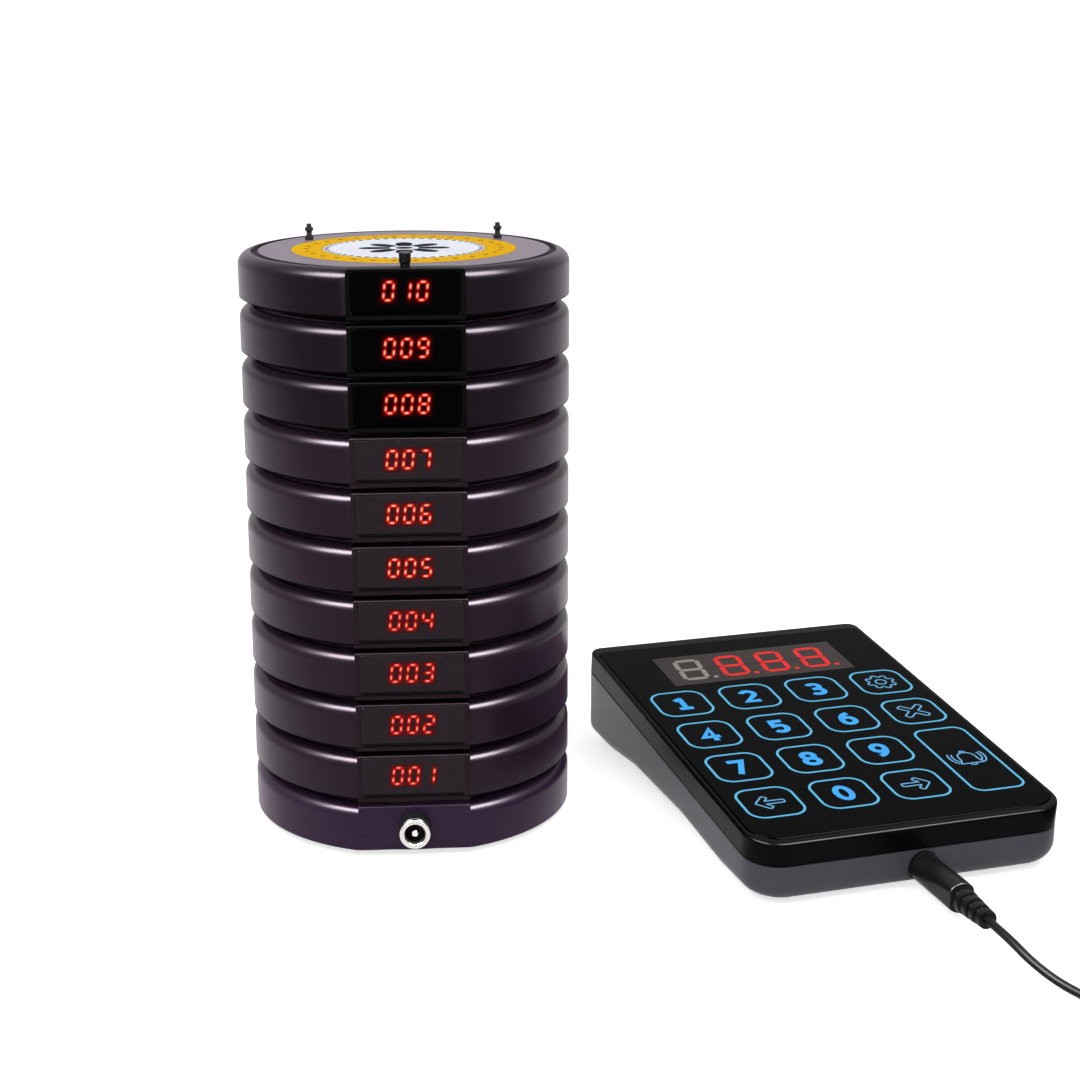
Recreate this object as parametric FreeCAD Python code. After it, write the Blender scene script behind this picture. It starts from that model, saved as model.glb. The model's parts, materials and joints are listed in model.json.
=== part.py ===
import FreeCAD, Part
import math
import os

# Guest pager system for a shop counter, in millimetres, +Z up. The origin is on the counter,
# on the axis of the stack of pagers. The flat fronts with the displays face -Y. The keypad
# transmitter lies on the same counter, to the right, turned about the vertical.

# ---- Driving dimensions: the shells of the pagers and of the charging base ----
pager_count = 10
pager_radius = 52.5
pager_pitch = 17.0           # height that one pager adds to the stack
stack_gap = 2.0              # open gap under a pager's floor
base_height = 16.6           # counter to the base's cover
shell_wall = 2.0
top_wall = 2.2
floor_thickness = 2.0
front_wall = 2.6             # wall behind the flat front
flat_depth = 3.1             # how far the flat front is cut into the round
shoulder_width = 4.2
shoulder_height = 3.7
rim_chamfer_width = 2.1      # chamfer round a pager's underside
rim_chamfer_height = 1.2     # from the floor's underside up to the parting of its two shells
groove_width = 2.1           # groove between shoulder and cover
groove_depth = 1.0
plate_rise = 0.2             # display housing above the cover
plate_depth = 5.4            # display housing from the flat inwards
plate_corner = 0.8
plate_edge = 0.35
spigot_height = 1.6
spigot_thickness = 1.2
shoulder_fill = 0.4          # the room's ceiling is this much wider than the shoulder's inside
fit_gap = 0.1                # clearance between moulded parts

# ---- Posts on top of every unit, and the sockets under every pager ----
post_circle_radius = 39.8    # two metal charging posts, towards the back
post_angle = 51.0            # from the back centre line, to either side
post_height = 5.2
post_radius = 1.4
post_neck_radius = 0.9
post_tip_radius = 0.8
post_tip_height = 0.9        # from the top down: tip, head, neck
post_head_height = 1.2
post_neck_height = 1.5
locating_post_inset = 3.4    # plastic post behind the flat front
locating_post_radius = 1.8
locating_post_neck = 1.5
locating_post_neck_height = 1.2
locating_post_height = 4.7
locating_post_edge = 0.4
socket_gap = 0.4
socket_wall = 1.0
stack_ring_width = 1.7
stack_ring_gap = 0.3         # ring to the charging sockets

# ---- Display of a pager ----
window_width = 32.8
window_height = 13.0
window_bottom = 0.3          # window above the parting of the shells
window_corner = 1.2
window_ledge = 1.4
lens_thickness = 0.8
lens_gap = 0.05
led_width = 22.0
led_depth = 6.0
led_gap = 0.1                # module under the top wall, and behind the lens

# ---- Boards, battery and motor ----
board_thickness = 1.6
board_rise = 1.6             # board above the floor that carries it
board_gap = 2.0              # board to the spigot
board_front_gap = 0.8        # board to the front wall
battery_width = 34.0
battery_length = 50.0
battery_thickness = 5.5
battery_y = 6.0
battery_corner = 2.0
motor_radius = 5.0
motor_thickness = 3.4
motor_x = -30.0
motor_y = -10.0

# ---- Charging base ----
foot_height = 2.0
foot_ring_radius = 45.0
foot_ring_width = 4.0
base_plate_thickness = 2.2
boss_x = 22.0
boss_y = 28.0
boss_radius = 3.0
boss_clearance = 0.5
standoff_radius = 2.5
standoff_circle_radius = 38.0
base_jack_height = 10.0      # jack's axis above the counter
base_jack_reach = 7.0        # barrel in front of the flat
base_jack_radius = 5.0
base_jack_body_width = 10.0
base_jack_body_depth = 13.0
base_jack_body_height = 7.2
base_jack_gap = 0.2          # jack's body under the top wall
jack_rim_length = 1.2
jack_rim_radius = 4.85
jack_hole_radius = 3.05
jack_hole_depth = 10.0
jack_pin_radius = 1.05
jack_pin_recess = 0.6

# ---- Screws ----
screw_radius = 1.2
screw_head_radius = 2.3
screw_head_height = 1.5
screw_fit = 0.05             # radial clearance of the screw in its hole
screw_end_gap = 0.3          # hole beyond the screw's end
base_screw_length = 8.0
keypad_screw_length = 9.0

# ---- Keypad transmitter ----
keypad_x = 134.0
keypad_y = -11.0
keypad_turn = 13.5           # degrees, anticlockwise seen from above
keypad_width = 106.0
keypad_length = 155.0
keypad_tilt = 5.0
keypad_near_height = 21.0    # glass plane at the near edge
keypad_near_corner = 11.0
keypad_far_corner = 4.5
frame_depth = 8.0
frame_edge = 1.1
frame_ledge = 3.0
parting_groove = 0.6
glass_side_margin = 1.5
glass_near_margin = 3.0
glass_far_margin = 5.0
glass_corner_step = 1.5      # glass corners are this much smaller than the frame's
least_corner = 1.0           # no corner under the glass is sharper than this
glass_thickness = 2.0
glass_rise = 0.3
glass_edge = 0.3
keypad_window_width = 68.6
keypad_window_length = 24.2
keypad_window_margin = 15.9  # window's far edge from the frame's far edge
keypad_led_height = 8.0
keypad_led_border = 1.0
case_wall = 2.2
case_near_round = 3.0
case_far_round = 7.0
case_side_round = 9.0
case_arch = 2.7              # underside's rise between its two feet stretches
case_near_flat = 30.0
case_near_ramp = 32.0
case_far_flat = 21.0
case_far_ramp = 26.0
keypad_foot_height = 1.5
keypad_foot_radius = 5.0
keypad_foot_inset = 23.0     # foot's centre from the side of the case
keypad_foot_near = 14.0
keypad_foot_far = 13.5
column_inset = 7.5           # screw column's centre from the side of the frame
column_near = 17.0
column_far = 14.0
column_radius = 4.2
column_meat = 5.0            # plastic between the screw's head and the parting
keypad_jack_x = 3.0
keypad_jack_height = 7.4     # jack's axis above the counter
keypad_jack_width = 11.0
keypad_jack_depth = 14.0
keypad_jack_body_height = 8.3

# ---- Power lead ----
plug_radius = 4.85
plug_length = 24.0           # overmould outside the keypad's wall
plug_flat = 4.1              # half thickness across the two grip flats
plug_flat_length = 11.0
plug_hole_gap = 0.3
barrel_radius = 2.75
barrel_bore_radius = 1.05
barrel_length = 9.5
barrel_gap = 0.1             # barrel in the jack
barrel_pin_gap = 0.05        # jack's pin in the barrel
relief_length = 15.0
relief_radius = 3.5
relief_tip_radius = 2.1
relief_rib_rise = 0.7
relief_ribs = 4
cord_radius = 1.3
cord_rest = 1.35             # centre line of the cord where it lies on the counter
lead_straight = 11.0         # the cord runs straight on this far, then bends down
lead_turn = 6.5              # its drift to the right by the time it lies on the counter
lead_swing = 9.2             # its bow to the front, on the way to the coil
coil_right = 58.0            # coil's centre from the point where the cord leaves the plug
coil_nearer = 38.0
coil_mean_radius = 15.6
coil_turns_across = 5
coil_layers = 2
adapter_length = 68.0
adapter_width = 40.0
adapter_height = 28.0
adapter_round = 3.0
adapter_beyond = 66.0        # end where the cord goes in, from the coil's centre
adapter_beside = 23.0        # adapter's centre line to the right of the coil's centre
adapter_cord_height = 8.0
adapter_relief_length = 20.0
adapter_relief_radius = 4.0
adapter_relief_tip = 2.0
blade_width = 6.35
blade_thickness = 1.5
blade_length = 16.0
blade_spacing = 12.7

# ---- Places worked out from the sizes above ----
flat_distance = pager_radius - flat_depth
plate_half = math.sqrt(pager_radius ** 2 - flat_distance ** 2)
cover_radius = pager_radius - shoulder_width - groove_width
inner_radius = pager_radius - shell_wall
inner_front = flat_distance - front_wall
parting = stack_gap + rim_chamfer_height
floor_top = stack_gap + floor_thickness
board_bottom = floor_top + board_rise
board_top = board_bottom + board_thickness
board_radius = inner_radius - fit_gap - spigot_thickness - board_gap
post_x = post_circle_radius * math.sin(math.radians(post_angle))
post_y = post_circle_radius * math.cos(math.radians(post_angle))
locating_post_y = flat_distance - locating_post_inset
ring_inner = post_circle_radius + post_radius + socket_gap + stack_ring_gap
window_low = parting + window_bottom
window_middle = window_low + window_height / 2
base_plate_top = foot_height + base_plate_thickness
base_board_bottom = base_height - top_wall - base_jack_gap - base_jack_body_height - board_thickness
base_board_top = base_board_bottom + board_thickness
tilt_sine = math.sin(math.radians(keypad_tilt))
tilt_cosine = math.cos(math.radians(keypad_tilt))
keypad_near = -keypad_length / 2
case_near = keypad_near + frame_depth * tilt_sine
case_far = case_near + keypad_length * tilt_cosine
parting_near_height = keypad_near_height - frame_depth * tilt_cosine
glass_width = keypad_width - 2 * glass_side_margin
glass_length = keypad_length - glass_near_margin - glass_far_margin
keypad_window_y = keypad_length - keypad_window_margin - keypad_window_length
keypad_foot_x = keypad_width / 2 - keypad_foot_inset
column_x = keypad_width / 2 - column_inset
turn_sine = math.sin(math.radians(keypad_turn))
turn_cosine = math.cos(math.radians(keypad_turn))
cord_start_y = case_near - plug_length - relief_length
cord_start_x = keypad_x + keypad_jack_x * turn_cosine - cord_start_y * turn_sine
coil_x = cord_start_x + coil_right
coil_y = keypad_y + keypad_jack_x * turn_sine + cord_start_y * turn_cosine - coil_nearer
adapter_x = coil_x + adapter_beside
adapter_y = coil_y + adapter_beyond
cord_diameter = 2 * cord_radius
tall = 2 * pager_radius      # taller than any single unit, for cutting tools
beyond = 1.0                 # how far a cutting tool runs past the face it cuts
bite = 0.5                   # how far two shapes that become one reach into each other
same = 0.001                 # two heights closer than this are the same height


def vec(x, y, z):
    return FreeCAD.Vector(x, y, z)


def box(x0, x1, y0, y1, z0, z1):
    return Part.makeBox(x1 - x0, y1 - y0, z1 - z0, vec(x0, y0, z0))


def upright(radius, x, y, z0, z1):
    """Vertical cylinder."""
    return Part.makeCylinder(radius, z1 - z0, vec(x, y, z0))


def level(radius, x, z, y0, y1):
    """Cylinder along Y."""
    return Part.makeCylinder(radius, y1 - y0, vec(x, y0, z), vec(0, 1, 0))


def turned(points, x=0.0, y=0.0):
    """Solid of revolution about a vertical axis, from (radius, height) points."""
    corners = [vec(radius, 0, height) for radius, height in points]
    section = Part.Face(Part.makePolygon(corners + corners[:1]))
    return section.revolve(vec(0, 0, 0), vec(0, 0, 1), 360).translated(vec(x, y, 0))


def outline(x0, x1, y0, y1, near_radius, far_radius):
    """Flat face in the XY plane, a rectangle whose near and far corners are rounded."""
    def corner(x, y, side_x, side_y, radius):
        back = radius * (1 - math.sqrt(0.5))
        return Part.Arc(
            vec(x, y - side_y * radius, 0),
            vec(x - side_x * back, y - side_y * back, 0),
            vec(x - side_x * radius, y, 0),
        ).toShape()

    arcs = [
        corner(x1, y0, 1, -1, near_radius),
        corner(x1, y1, 1, 1, far_radius),
        corner(x0, y1, -1, 1, far_radius),
        corner(x0, y0, -1, -1, near_radius),
    ]
    lines = [
        Part.makeLine(vec(x1, y0 + near_radius, 0), vec(x1, y1 - far_radius, 0)),
        Part.makeLine(vec(x1 - far_radius, y1, 0), vec(x0 + far_radius, y1, 0)),
        Part.makeLine(vec(x0, y1 - far_radius, 0), vec(x0, y0 + near_radius, 0)),
        Part.makeLine(vec(x0 + near_radius, y0, 0), vec(x1 - near_radius, y0, 0)),
    ]
    return Part.Face(Part.Wire(Part.__sortEdges__(arcs + lines)))


def slab(face, z0, z1):
    """A face in the XY plane, thickened from one height to another."""
    return face.translated(vec(0, 0, z0)).extrude(vec(0, 0, z1 - z0))


def save(name, *solids):
    """Write the solids of one node to its STEP file."""
    shape = solids[0] if len(solids) == 1 else Part.makeCompound(list(solids))
    if not shape.isValid() or any(solid.Volume <= 0 for solid in shape.Solids):
        raise ValueError(name + " is not a valid solid")
    shape.exportStep(os.path.join("parts", name + ".step"))


# ---- Shells of the stack ----

def front_waste(distance):
    """All that lies in front of a flat at this distance from the axis."""
    return box(-tall, tall, -tall, -distance, -tall, 2 * tall)


def shouldered_body(bottom, cover):
    """Round body with a rounded shoulder, a grooved top and a flat front."""
    wall_top = cover - shoulder_height
    shoulder_inner = pager_radius - shoulder_width
    diagonal = math.sqrt(0.5)
    edges = [
        Part.makeLine(vec(0, 0, bottom), vec(pager_radius, 0, bottom)),
        Part.makeLine(vec(pager_radius, 0, bottom), vec(pager_radius, 0, wall_top)),
        Part.Arc(
            vec(pager_radius, 0, wall_top),
            vec(shoulder_inner + shoulder_width * diagonal, 0, wall_top + shoulder_height * diagonal),
            vec(shoulder_inner, 0, cover),
        ).toShape(),
        Part.makeLine(vec(shoulder_inner, 0, cover), vec(0, 0, cover)),
        Part.makeLine(vec(0, 0, cover), vec(0, 0, bottom)),
    ]
    body = Part.Face(Part.Wire(edges)).revolve(vec(0, 0, 0), vec(0, 0, 1), 360)
    groove = upright(cover_radius + groove_width, 0, 0, cover - groove_depth, cover + beyond)
    groove = groove.cut(upright(cover_radius, 0, 0, cover - groove_depth, cover + beyond))
    return body.cut(groove).cut(front_waste(flat_distance))


def housing(bottom, top):
    """Block of the flat front, square to the front, with eased upper corners."""
    points = [
        (-plate_half, bottom), (plate_half, bottom), (plate_half, top - plate_corner),
        (plate_half - plate_corner, top), (-plate_half + plate_corner, top),
        (-plate_half, top - plate_corner),
    ]
    corners = [vec(x, -flat_distance, z) for x, z in points]
    block = Part.Face(Part.makePolygon(corners + corners[:1])).extrude(vec(0, plate_depth, 0))
    front_top = [
        edge for edge in block.Edges
        if all(abs(v.Z - top) < same and abs(v.Y + flat_distance) < same for v in edge.Vertexes)
    ]
    return block.makeChamfer(plate_edge, front_top)


def cavity(bottom, cover):
    """Room inside an upper shell."""
    ceiling = cover - top_wall
    room = turned([
        (0, bottom), (inner_radius, bottom), (inner_radius, cover - shoulder_height),
        (inner_radius - shoulder_width + shoulder_fill, ceiling), (0, ceiling),
    ])
    return room.cut(front_waste(inner_front))


def locating_post(cover):
    """Plastic post moulded on the display housing, with a wider head."""
    foot = cover + plate_rise - bite
    neck_top = cover + plate_rise + locating_post_neck_height
    top = cover + locating_post_height
    return turned([
        (0, foot), (locating_post_neck, foot), (locating_post_neck, neck_top),
        (locating_post_radius, neck_top), (locating_post_radius, top - locating_post_edge),
        (locating_post_radius - locating_post_edge, top), (0, top),
    ], 0, -locating_post_y)


def deck_shell(bottom, cover):
    """Upper shell with the top that every unit of the stack has, as far as it is common."""
    shell = shouldered_body(bottom, cover).fuse(housing(bottom, cover + plate_rise))
    shell = shell.cut(cavity(bottom, cover))
    for side in (-1, 1):
        hole = upright(post_radius + fit_gap, side * post_x, post_y, cover - top_wall - beyond, cover + beyond)
        shell = shell.cut(hole)
    return shell.fuse(locating_post(cover)).removeSplitter()


def charging_posts(board, cover):
    """Two metal posts that stand on a board and reach through the cover."""
    tip = cover + post_height
    head_top = tip - post_tip_height
    head_bottom = head_top - post_head_height
    neck_bottom = head_bottom - post_neck_height
    slope = post_radius - post_neck_radius
    profile = [
        (0, board), (post_radius, board), (post_radius, neck_bottom - slope),
        (post_neck_radius, neck_bottom), (post_neck_radius, head_bottom - slope), (post_radius, head_bottom),
        (post_radius, head_top - slope), (post_tip_radius, head_top), (post_tip_radius, tip), (0, tip),
    ]
    return [turned(profile, side * post_x, post_y) for side in (-1, 1)]


# ---- One pager, with z = 0 where it stands on the unit below ----

def pager_upper_shell():
    """Wall, shoulder and top, with the pocket and the opening of the display window."""
    shell = deck_shell(parting, pager_pitch)
    shell = shell.cut(window_block(0, window_width, window_height, lens_thickness))
    module_back = -flat_distance + lens_thickness + led_depth + 2 * led_gap
    opening = box(
        -window_width / 2 + window_ledge, window_width / 2 - window_ledge,
        -flat_distance + lens_thickness / 2, module_back,
        board_top - led_gap, pager_pitch - top_wall,
    )
    notch_top = locating_post_height + socket_gap
    notch = upright(locating_post_radius + socket_gap, 0, -locating_post_y, parting - beyond, notch_top)
    return shell.cut(opening).cut(notch).removeSplitter()


def window_block(shrink, width, height, depth):
    """Rounded block as large as the window, from the flat front inwards."""
    half = width / 2 - shrink
    rise = height / 2 - shrink
    face = outline(-half, half, -rise, rise, window_corner, window_corner)
    block = slab(face, 0, depth).rotated(vec(0, 0, 0), vec(1, 0, 0), 90)
    return block.translated(vec(0, depth - flat_distance, window_middle))


def pager_lower_shell():
    """Chamfered floor with the spigot, the stacking ring and the post sockets."""
    spigot_outer = inner_radius - fit_gap
    spigot_inner = spigot_outer - spigot_thickness
    spigot_top = parting + spigot_height
    shell = turned([
        (0, stack_gap), (pager_radius - rim_chamfer_width, stack_gap), (pager_radius, parting),
        (spigot_outer, parting), (spigot_outer, spigot_top), (spigot_inner, spigot_top),
        (spigot_inner, floor_top), (0, floor_top),
    ])
    front_zone = box(-tall, tall, -tall, -(inner_front - fit_gap), parting, tall)
    front_block = box(-plate_half, plate_half, -flat_distance, plate_depth - flat_distance, stack_gap, parting)
    shell = shell.cut(front_waste(flat_distance)).cut(front_zone).fuse(front_block)
    shell = shell.fuse(stacking_ring())
    for side in (-1, 1):
        socket = post_radius + socket_gap
        shell = shell.fuse(upright(socket + socket_wall, side * post_x, post_y, floor_top - bite, board_bottom))
        shell = shell.cut(upright(socket, side * post_x, post_y, -beyond, board_bottom + beyond))
    shell = shell.cut(upright(locating_post_radius + socket_gap, 0, -locating_post_y, -beyond, tall))
    return shell.removeSplitter()


def stacking_ring():
    """Ring under the floor that rests on the cover of the unit below."""
    ring = upright(ring_inner + stack_ring_width, 0, 0, 0, stack_gap + bite)
    return ring.cut(upright(ring_inner, 0, 0, -beyond, stack_gap + beyond))


def pager_display():
    """Dark window lens, and the LED module that stands on the board behind it."""
    lens = window_block(lens_gap, window_width, window_height, lens_thickness)
    front = -flat_distance + lens_thickness + led_gap
    module = box(
        -led_width / 2, led_width / 2, front, front + led_depth,
        board_top, pager_pitch - top_wall - led_gap,
    )
    return [lens, module]


def pager_electronics():
    """Board with its charging posts, battery and vibration motor."""
    board = upright(board_radius, 0, 0, board_bottom, board_top)
    board = board.cut(front_waste(inner_front - board_front_gap))
    cell = outline(
        -battery_width / 2, battery_width / 2,
        battery_y - battery_length / 2, battery_y + battery_length / 2, battery_corner, battery_corner,
    )
    battery = slab(cell, board_top, board_top + battery_thickness)
    motor = upright(motor_radius, motor_x, motor_y, board_top, board_top + motor_thickness)
    return [board] + charging_posts(board_top, pager_pitch) + [battery, motor]


# ---- Charging base ----

def boss_places():
    return [(x, y) for x in (-boss_x, boss_x) for y in (-boss_y, boss_y)]


def screw(x, y, head_bottom, length):
    """Pan head screw, head down."""
    head_top = head_bottom + screw_head_height
    head = upright(screw_head_radius, x, y, head_bottom, head_top)
    return head.fuse(upright(screw_radius, x, y, head_top, head_top + length)).removeSplitter()


def base_upper_shell():
    """Same top as a pager, a wall down to a sharp lower edge, screw bosses and the jack's hole."""
    shell = deck_shell(foot_height, base_height)
    for x, y in boss_places():
        shell = shell.fuse(upright(boss_radius, x, y, base_plate_top, base_height - top_wall + bite))
        hole_top = foot_height + screw_head_height + base_screw_length + screw_end_gap
        shell = shell.cut(upright(screw_radius + screw_fit, x, y, base_plate_top - beyond, hole_top))
    jack_hole = level(base_jack_radius + fit_gap, 0, base_jack_height, -tall, -inner_front + fit_gap)
    return shell.cut(jack_hole).removeSplitter()


def base_lower_shell():
    """Bottom plate inside the wall, with sunk screw holes and standoffs for the board."""
    plate = upright(inner_radius - fit_gap, 0, 0, foot_height, base_plate_top)
    plate = plate.cut(front_waste(inner_front - fit_gap))
    for turn in range(4):
        angle = math.radians(90 * turn)
        plate = plate.fuse(upright(
            standoff_radius,
            standoff_circle_radius * math.cos(angle), standoff_circle_radius * math.sin(angle),
            foot_height + bite, base_board_bottom,
        ))
    for x, y in boss_places():
        plate = plate.cut(upright(screw_radius + socket_gap, x, y, 0, base_plate_top + beyond))
        plate = plate.cut(upright(screw_head_radius + fit_gap, x, y, 0, foot_height + screw_head_height))
    return plate.removeSplitter()


def base_circuit():
    """Board of the base, with clearance round the screw bosses, and its charging posts."""
    board = upright(board_radius, 0, 0, base_board_bottom, base_board_top)
    board = board.cut(front_waste(inner_front - board_front_gap))
    for x, y in boss_places():
        board = board.cut(upright(boss_radius + boss_clearance, x, y, 0, tall))
    return [board] + charging_posts(base_board_top, base_height)


def base_jack():
    """Power jack: black body and barrel, bright rim ring and centre pin."""
    barrel_end = -flat_distance - base_jack_reach + jack_rim_length
    body_front = -inner_front
    body = box(
        -base_jack_body_width / 2, base_jack_body_width / 2, body_front, body_front + base_jack_body_depth,
        base_board_top, base_board_top + base_jack_body_height,
    )
    body = body.fuse(level(base_jack_radius, 0, base_jack_height, barrel_end, body_front))
    rim_end = barrel_end - jack_rim_length
    hole_end = rim_end + jack_hole_depth
    body = body.cut(level(jack_hole_radius, 0, base_jack_height, barrel_end - beyond, hole_end))
    rim = level(jack_rim_radius, 0, base_jack_height, rim_end, barrel_end)
    rim = rim.cut(level(jack_hole_radius, 0, base_jack_height, rim_end - beyond, barrel_end + beyond))
    pin = level(jack_pin_radius, 0, base_jack_height, rim_end + jack_pin_recess, hole_end)
    return [body.removeSplitter(), rim, pin]


def base_foot_ring():
    """Rubber ring that the base stands on."""
    ring = upright(foot_ring_radius, 0, 0, 0, foot_height)
    return ring.cut(upright(foot_ring_radius - foot_ring_width, 0, 0, -beyond, foot_height + beyond))


# ---- Keypad transmitter: upright frame, before it is turned and moved to its place ----

def on_panel(shape):
    """From the panel's own frame, whose z = 0 is the glass plane, to the tilted panel."""
    tilted = shape.rotated(vec(0, 0, 0), vec(1, 0, 0), keypad_tilt)
    return tilted.translated(vec(0, keypad_near, keypad_near_height))


def placed(shape):
    """From the keypad's upright frame to its place on the counter."""
    return shape.rotated(vec(0, 0, 0), vec(0, 0, 1), keypad_turn).translated(vec(keypad_x, keypad_y, 0))


def panel_outline(inset):
    """Outline of the keypad, in the panel's frame, moved in by the inset."""
    half = keypad_width / 2 - inset
    return outline(
        -half, half, inset, keypad_length - inset, keypad_near_corner - inset, keypad_far_corner - inset,
    )


def glass_outline(grow):
    """Outline of the glass, in the panel's frame, made larger all round."""
    half = glass_width / 2 + grow
    return outline(
        -half, half, glass_near_margin - grow, keypad_length - glass_far_margin + grow,
        max(keypad_near_corner - glass_corner_step + grow, least_corner),
        max(keypad_far_corner - glass_corner_step + grow, least_corner),
    )


def top_edges(shape, height):
    return [edge for edge in shape.Edges if all(abs(v.Z - height) < same for v in edge.Vertexes)]


def screw_columns():
    near = case_near + column_near
    far = case_far - column_far
    return [(x, y) for x in (-column_x, column_x) for y in (near, far)]


def parting_height(y):
    """Height of the parting plane between frame and case."""
    return parting_near_height + (y - case_near) * tilt_sine / tilt_cosine


def keypad_top_frame():
    """Frame round the glass, with a ledge under it and ears for the screws."""
    frame = slab(panel_outline(0), -frame_depth, 0)
    frame = frame.makeFillet(frame_edge, top_edges(frame, 0))
    frame = frame.cut(slab(glass_outline(fit_gap), -glass_thickness, beyond))
    frame = frame.cut(slab(glass_outline(-frame_ledge), -frame_depth - beyond, 0))
    groove_low, groove_high = -frame_depth - beyond, -frame_depth + parting_groove
    groove = slab(panel_outline(-beyond), groove_low, groove_high)
    frame = frame.cut(groove.cut(slab(panel_outline(parting_groove), groove_low, groove_high)))
    frame = on_panel(frame)
    ear_top = -glass_thickness - board_thickness - fit_gap
    ear_room = on_panel(slab(panel_outline(frame_edge), -frame_depth, ear_top))
    for x, y in screw_columns():
        frame = frame.fuse(upright(column_radius, x, y, 0, tall).common(ear_room))
        hole_top = parting_height(y) - column_meat + keypad_screw_length + screw_end_gap
        frame = frame.cut(upright(screw_radius + screw_fit, x, y, 0, hole_top))
    return frame.removeSplitter()


def keypad_glass():
    """Touch glass, a little proud of the frame, with a chamfered edge."""
    glass = slab(glass_outline(0), -glass_thickness, glass_rise)
    return on_panel(glass.makeChamfer(glass_edge, top_edges(glass, glass_rise)))


def keypad_led_box(border, low, high):
    """Box under the display's window, smaller than the window by the border."""
    half = keypad_window_width / 2 - border
    near = keypad_window_y + border
    return box(-half, half, near, keypad_window_y + keypad_window_length - border, low, high)


def keypad_display():
    """Four-digit LED module behind the glass."""
    return on_panel(keypad_led_box(keypad_led_border, -glass_thickness - keypad_led_height, -glass_thickness))


def keypad_board():
    """Touch board on the back of the glass, cut out for the LED module."""
    board = slab(glass_outline(-frame_ledge - fit_gap), -glass_thickness - board_thickness, -glass_thickness)
    return on_panel(board.cut(keypad_led_box(keypad_led_border - fit_gap, -tall, tall)))


def case_block(inset):
    """Wedge with an arched underside and rounded sides, all its walls moved in by the inset."""
    near = case_near + inset
    far = case_far - inset
    floor = keypad_foot_height + inset
    near_round = max(case_near_round - inset, least_corner)
    far_round = case_far_round - inset / 2
    arch_near = case_near + case_near_flat + case_near_ramp
    arch_far = case_far - case_far_flat - case_far_ramp
    diagonal = 1 - math.sqrt(0.5)

    def at(y, z):
        return vec(-keypad_width, y, z)

    corners = [
        at(near + near_round, floor), at(case_near + case_near_flat, floor), at(arch_near, floor + case_arch),
        at(arch_far, floor + case_arch), at(case_far - case_far_flat, floor), at(far - far_round, floor),
    ]
    edges = [Part.makeLine(a, b) for a, b in zip(corners, corners[1:])]
    edges += [
        Part.Arc(
            corners[-1], at(far - far_round * diagonal, floor + far_round * diagonal), at(far, floor + far_round),
        ).toShape(),
        Part.makeLine(at(far, floor + far_round), at(far, tall)),
        Part.makeLine(at(far, tall), at(near, tall)),
        Part.makeLine(at(near, tall), at(near, floor + near_round)),
        Part.Arc(
            at(near, floor + near_round), at(near + near_round * diagonal, floor + near_round * diagonal), corners[0],
        ).toShape(),
    ]
    side_view = Part.Face(Part.Wire(edges)).extrude(vec(2 * keypad_width, 0, 0))
    half = keypad_width / 2 - inset
    end_view = outline(-half, half, floor, tall, case_side_round, case_side_round)
    end_view = slab(end_view, -keypad_length, keypad_length).rotated(vec(0, 0, 0), vec(1, 0, 0), 90)
    plan_view = slab(outline(-half, half, near, far, keypad_near_corner - inset, keypad_far_corner - inset), 0, tall)
    return side_view.common(end_view).common(plan_view)


def keypad_lower_case():
    """Hollow wedge with screw columns and the hole for the plug."""
    outer = case_block(0)
    case = outer.cut(case_block(case_wall))
    for x, y in screw_columns():
        case = case.fuse(upright(column_radius, x, y, 0, tall).common(outer))
    for x, y in screw_columns():
        head_seat = parting_height(y) - column_meat
        case = case.cut(upright(screw_head_radius + socket_gap, x, y, 0, head_seat))
        case = case.cut(upright(screw_radius + socket_gap, x, y, 0, tall))
    hole = level(
        plug_radius + plug_hole_gap, keypad_jack_x, keypad_jack_height,
        case_near - beyond, case_near + case_wall + fit_gap,
    )
    above = on_panel(box(-tall, tall, -tall, keypad_length + tall, -frame_depth, tall))
    return case.cut(hole).cut(above).removeSplitter()


def keypad_jack():
    """Power jack on the case's floor behind the near wall, with its centre pin."""
    face = case_near + case_wall
    floor = keypad_foot_height + case_wall
    body = box(
        keypad_jack_x - keypad_jack_width / 2, keypad_jack_x + keypad_jack_width / 2,
        face, face + keypad_jack_depth, floor, floor + keypad_jack_body_height,
    )
    lower_front = [
        edge for edge in body.Edges
        if all(abs(v.Y - face) < same and abs(v.Z - floor) < same for v in edge.Vertexes)
    ]
    body = body.makeChamfer(least_corner, lower_front)
    bore_end = face + barrel_length + fit_gap
    body = body.cut(level(barrel_radius + barrel_gap, keypad_jack_x, keypad_jack_height, face - beyond, bore_end))
    pin_radius = barrel_bore_radius - barrel_pin_gap
    pin = level(pin_radius, keypad_jack_x, keypad_jack_height, face + jack_pin_recess, bore_end)
    return [body, pin]


def keypad_feet():
    """Four round rubber feet."""
    near = case_near + keypad_foot_near
    far = case_far - keypad_foot_far
    return [
        upright(keypad_foot_radius, x, y, 0, keypad_foot_height)
        for x in (-keypad_foot_x, keypad_foot_x) for y in (near, far)
    ]


def keypad_screws():
    return [
        screw(x, y, parting_height(y) - column_meat - screw_head_height, keypad_screw_length)
        for x, y in screw_columns()
    ]


# ---- Power lead ----

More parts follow.
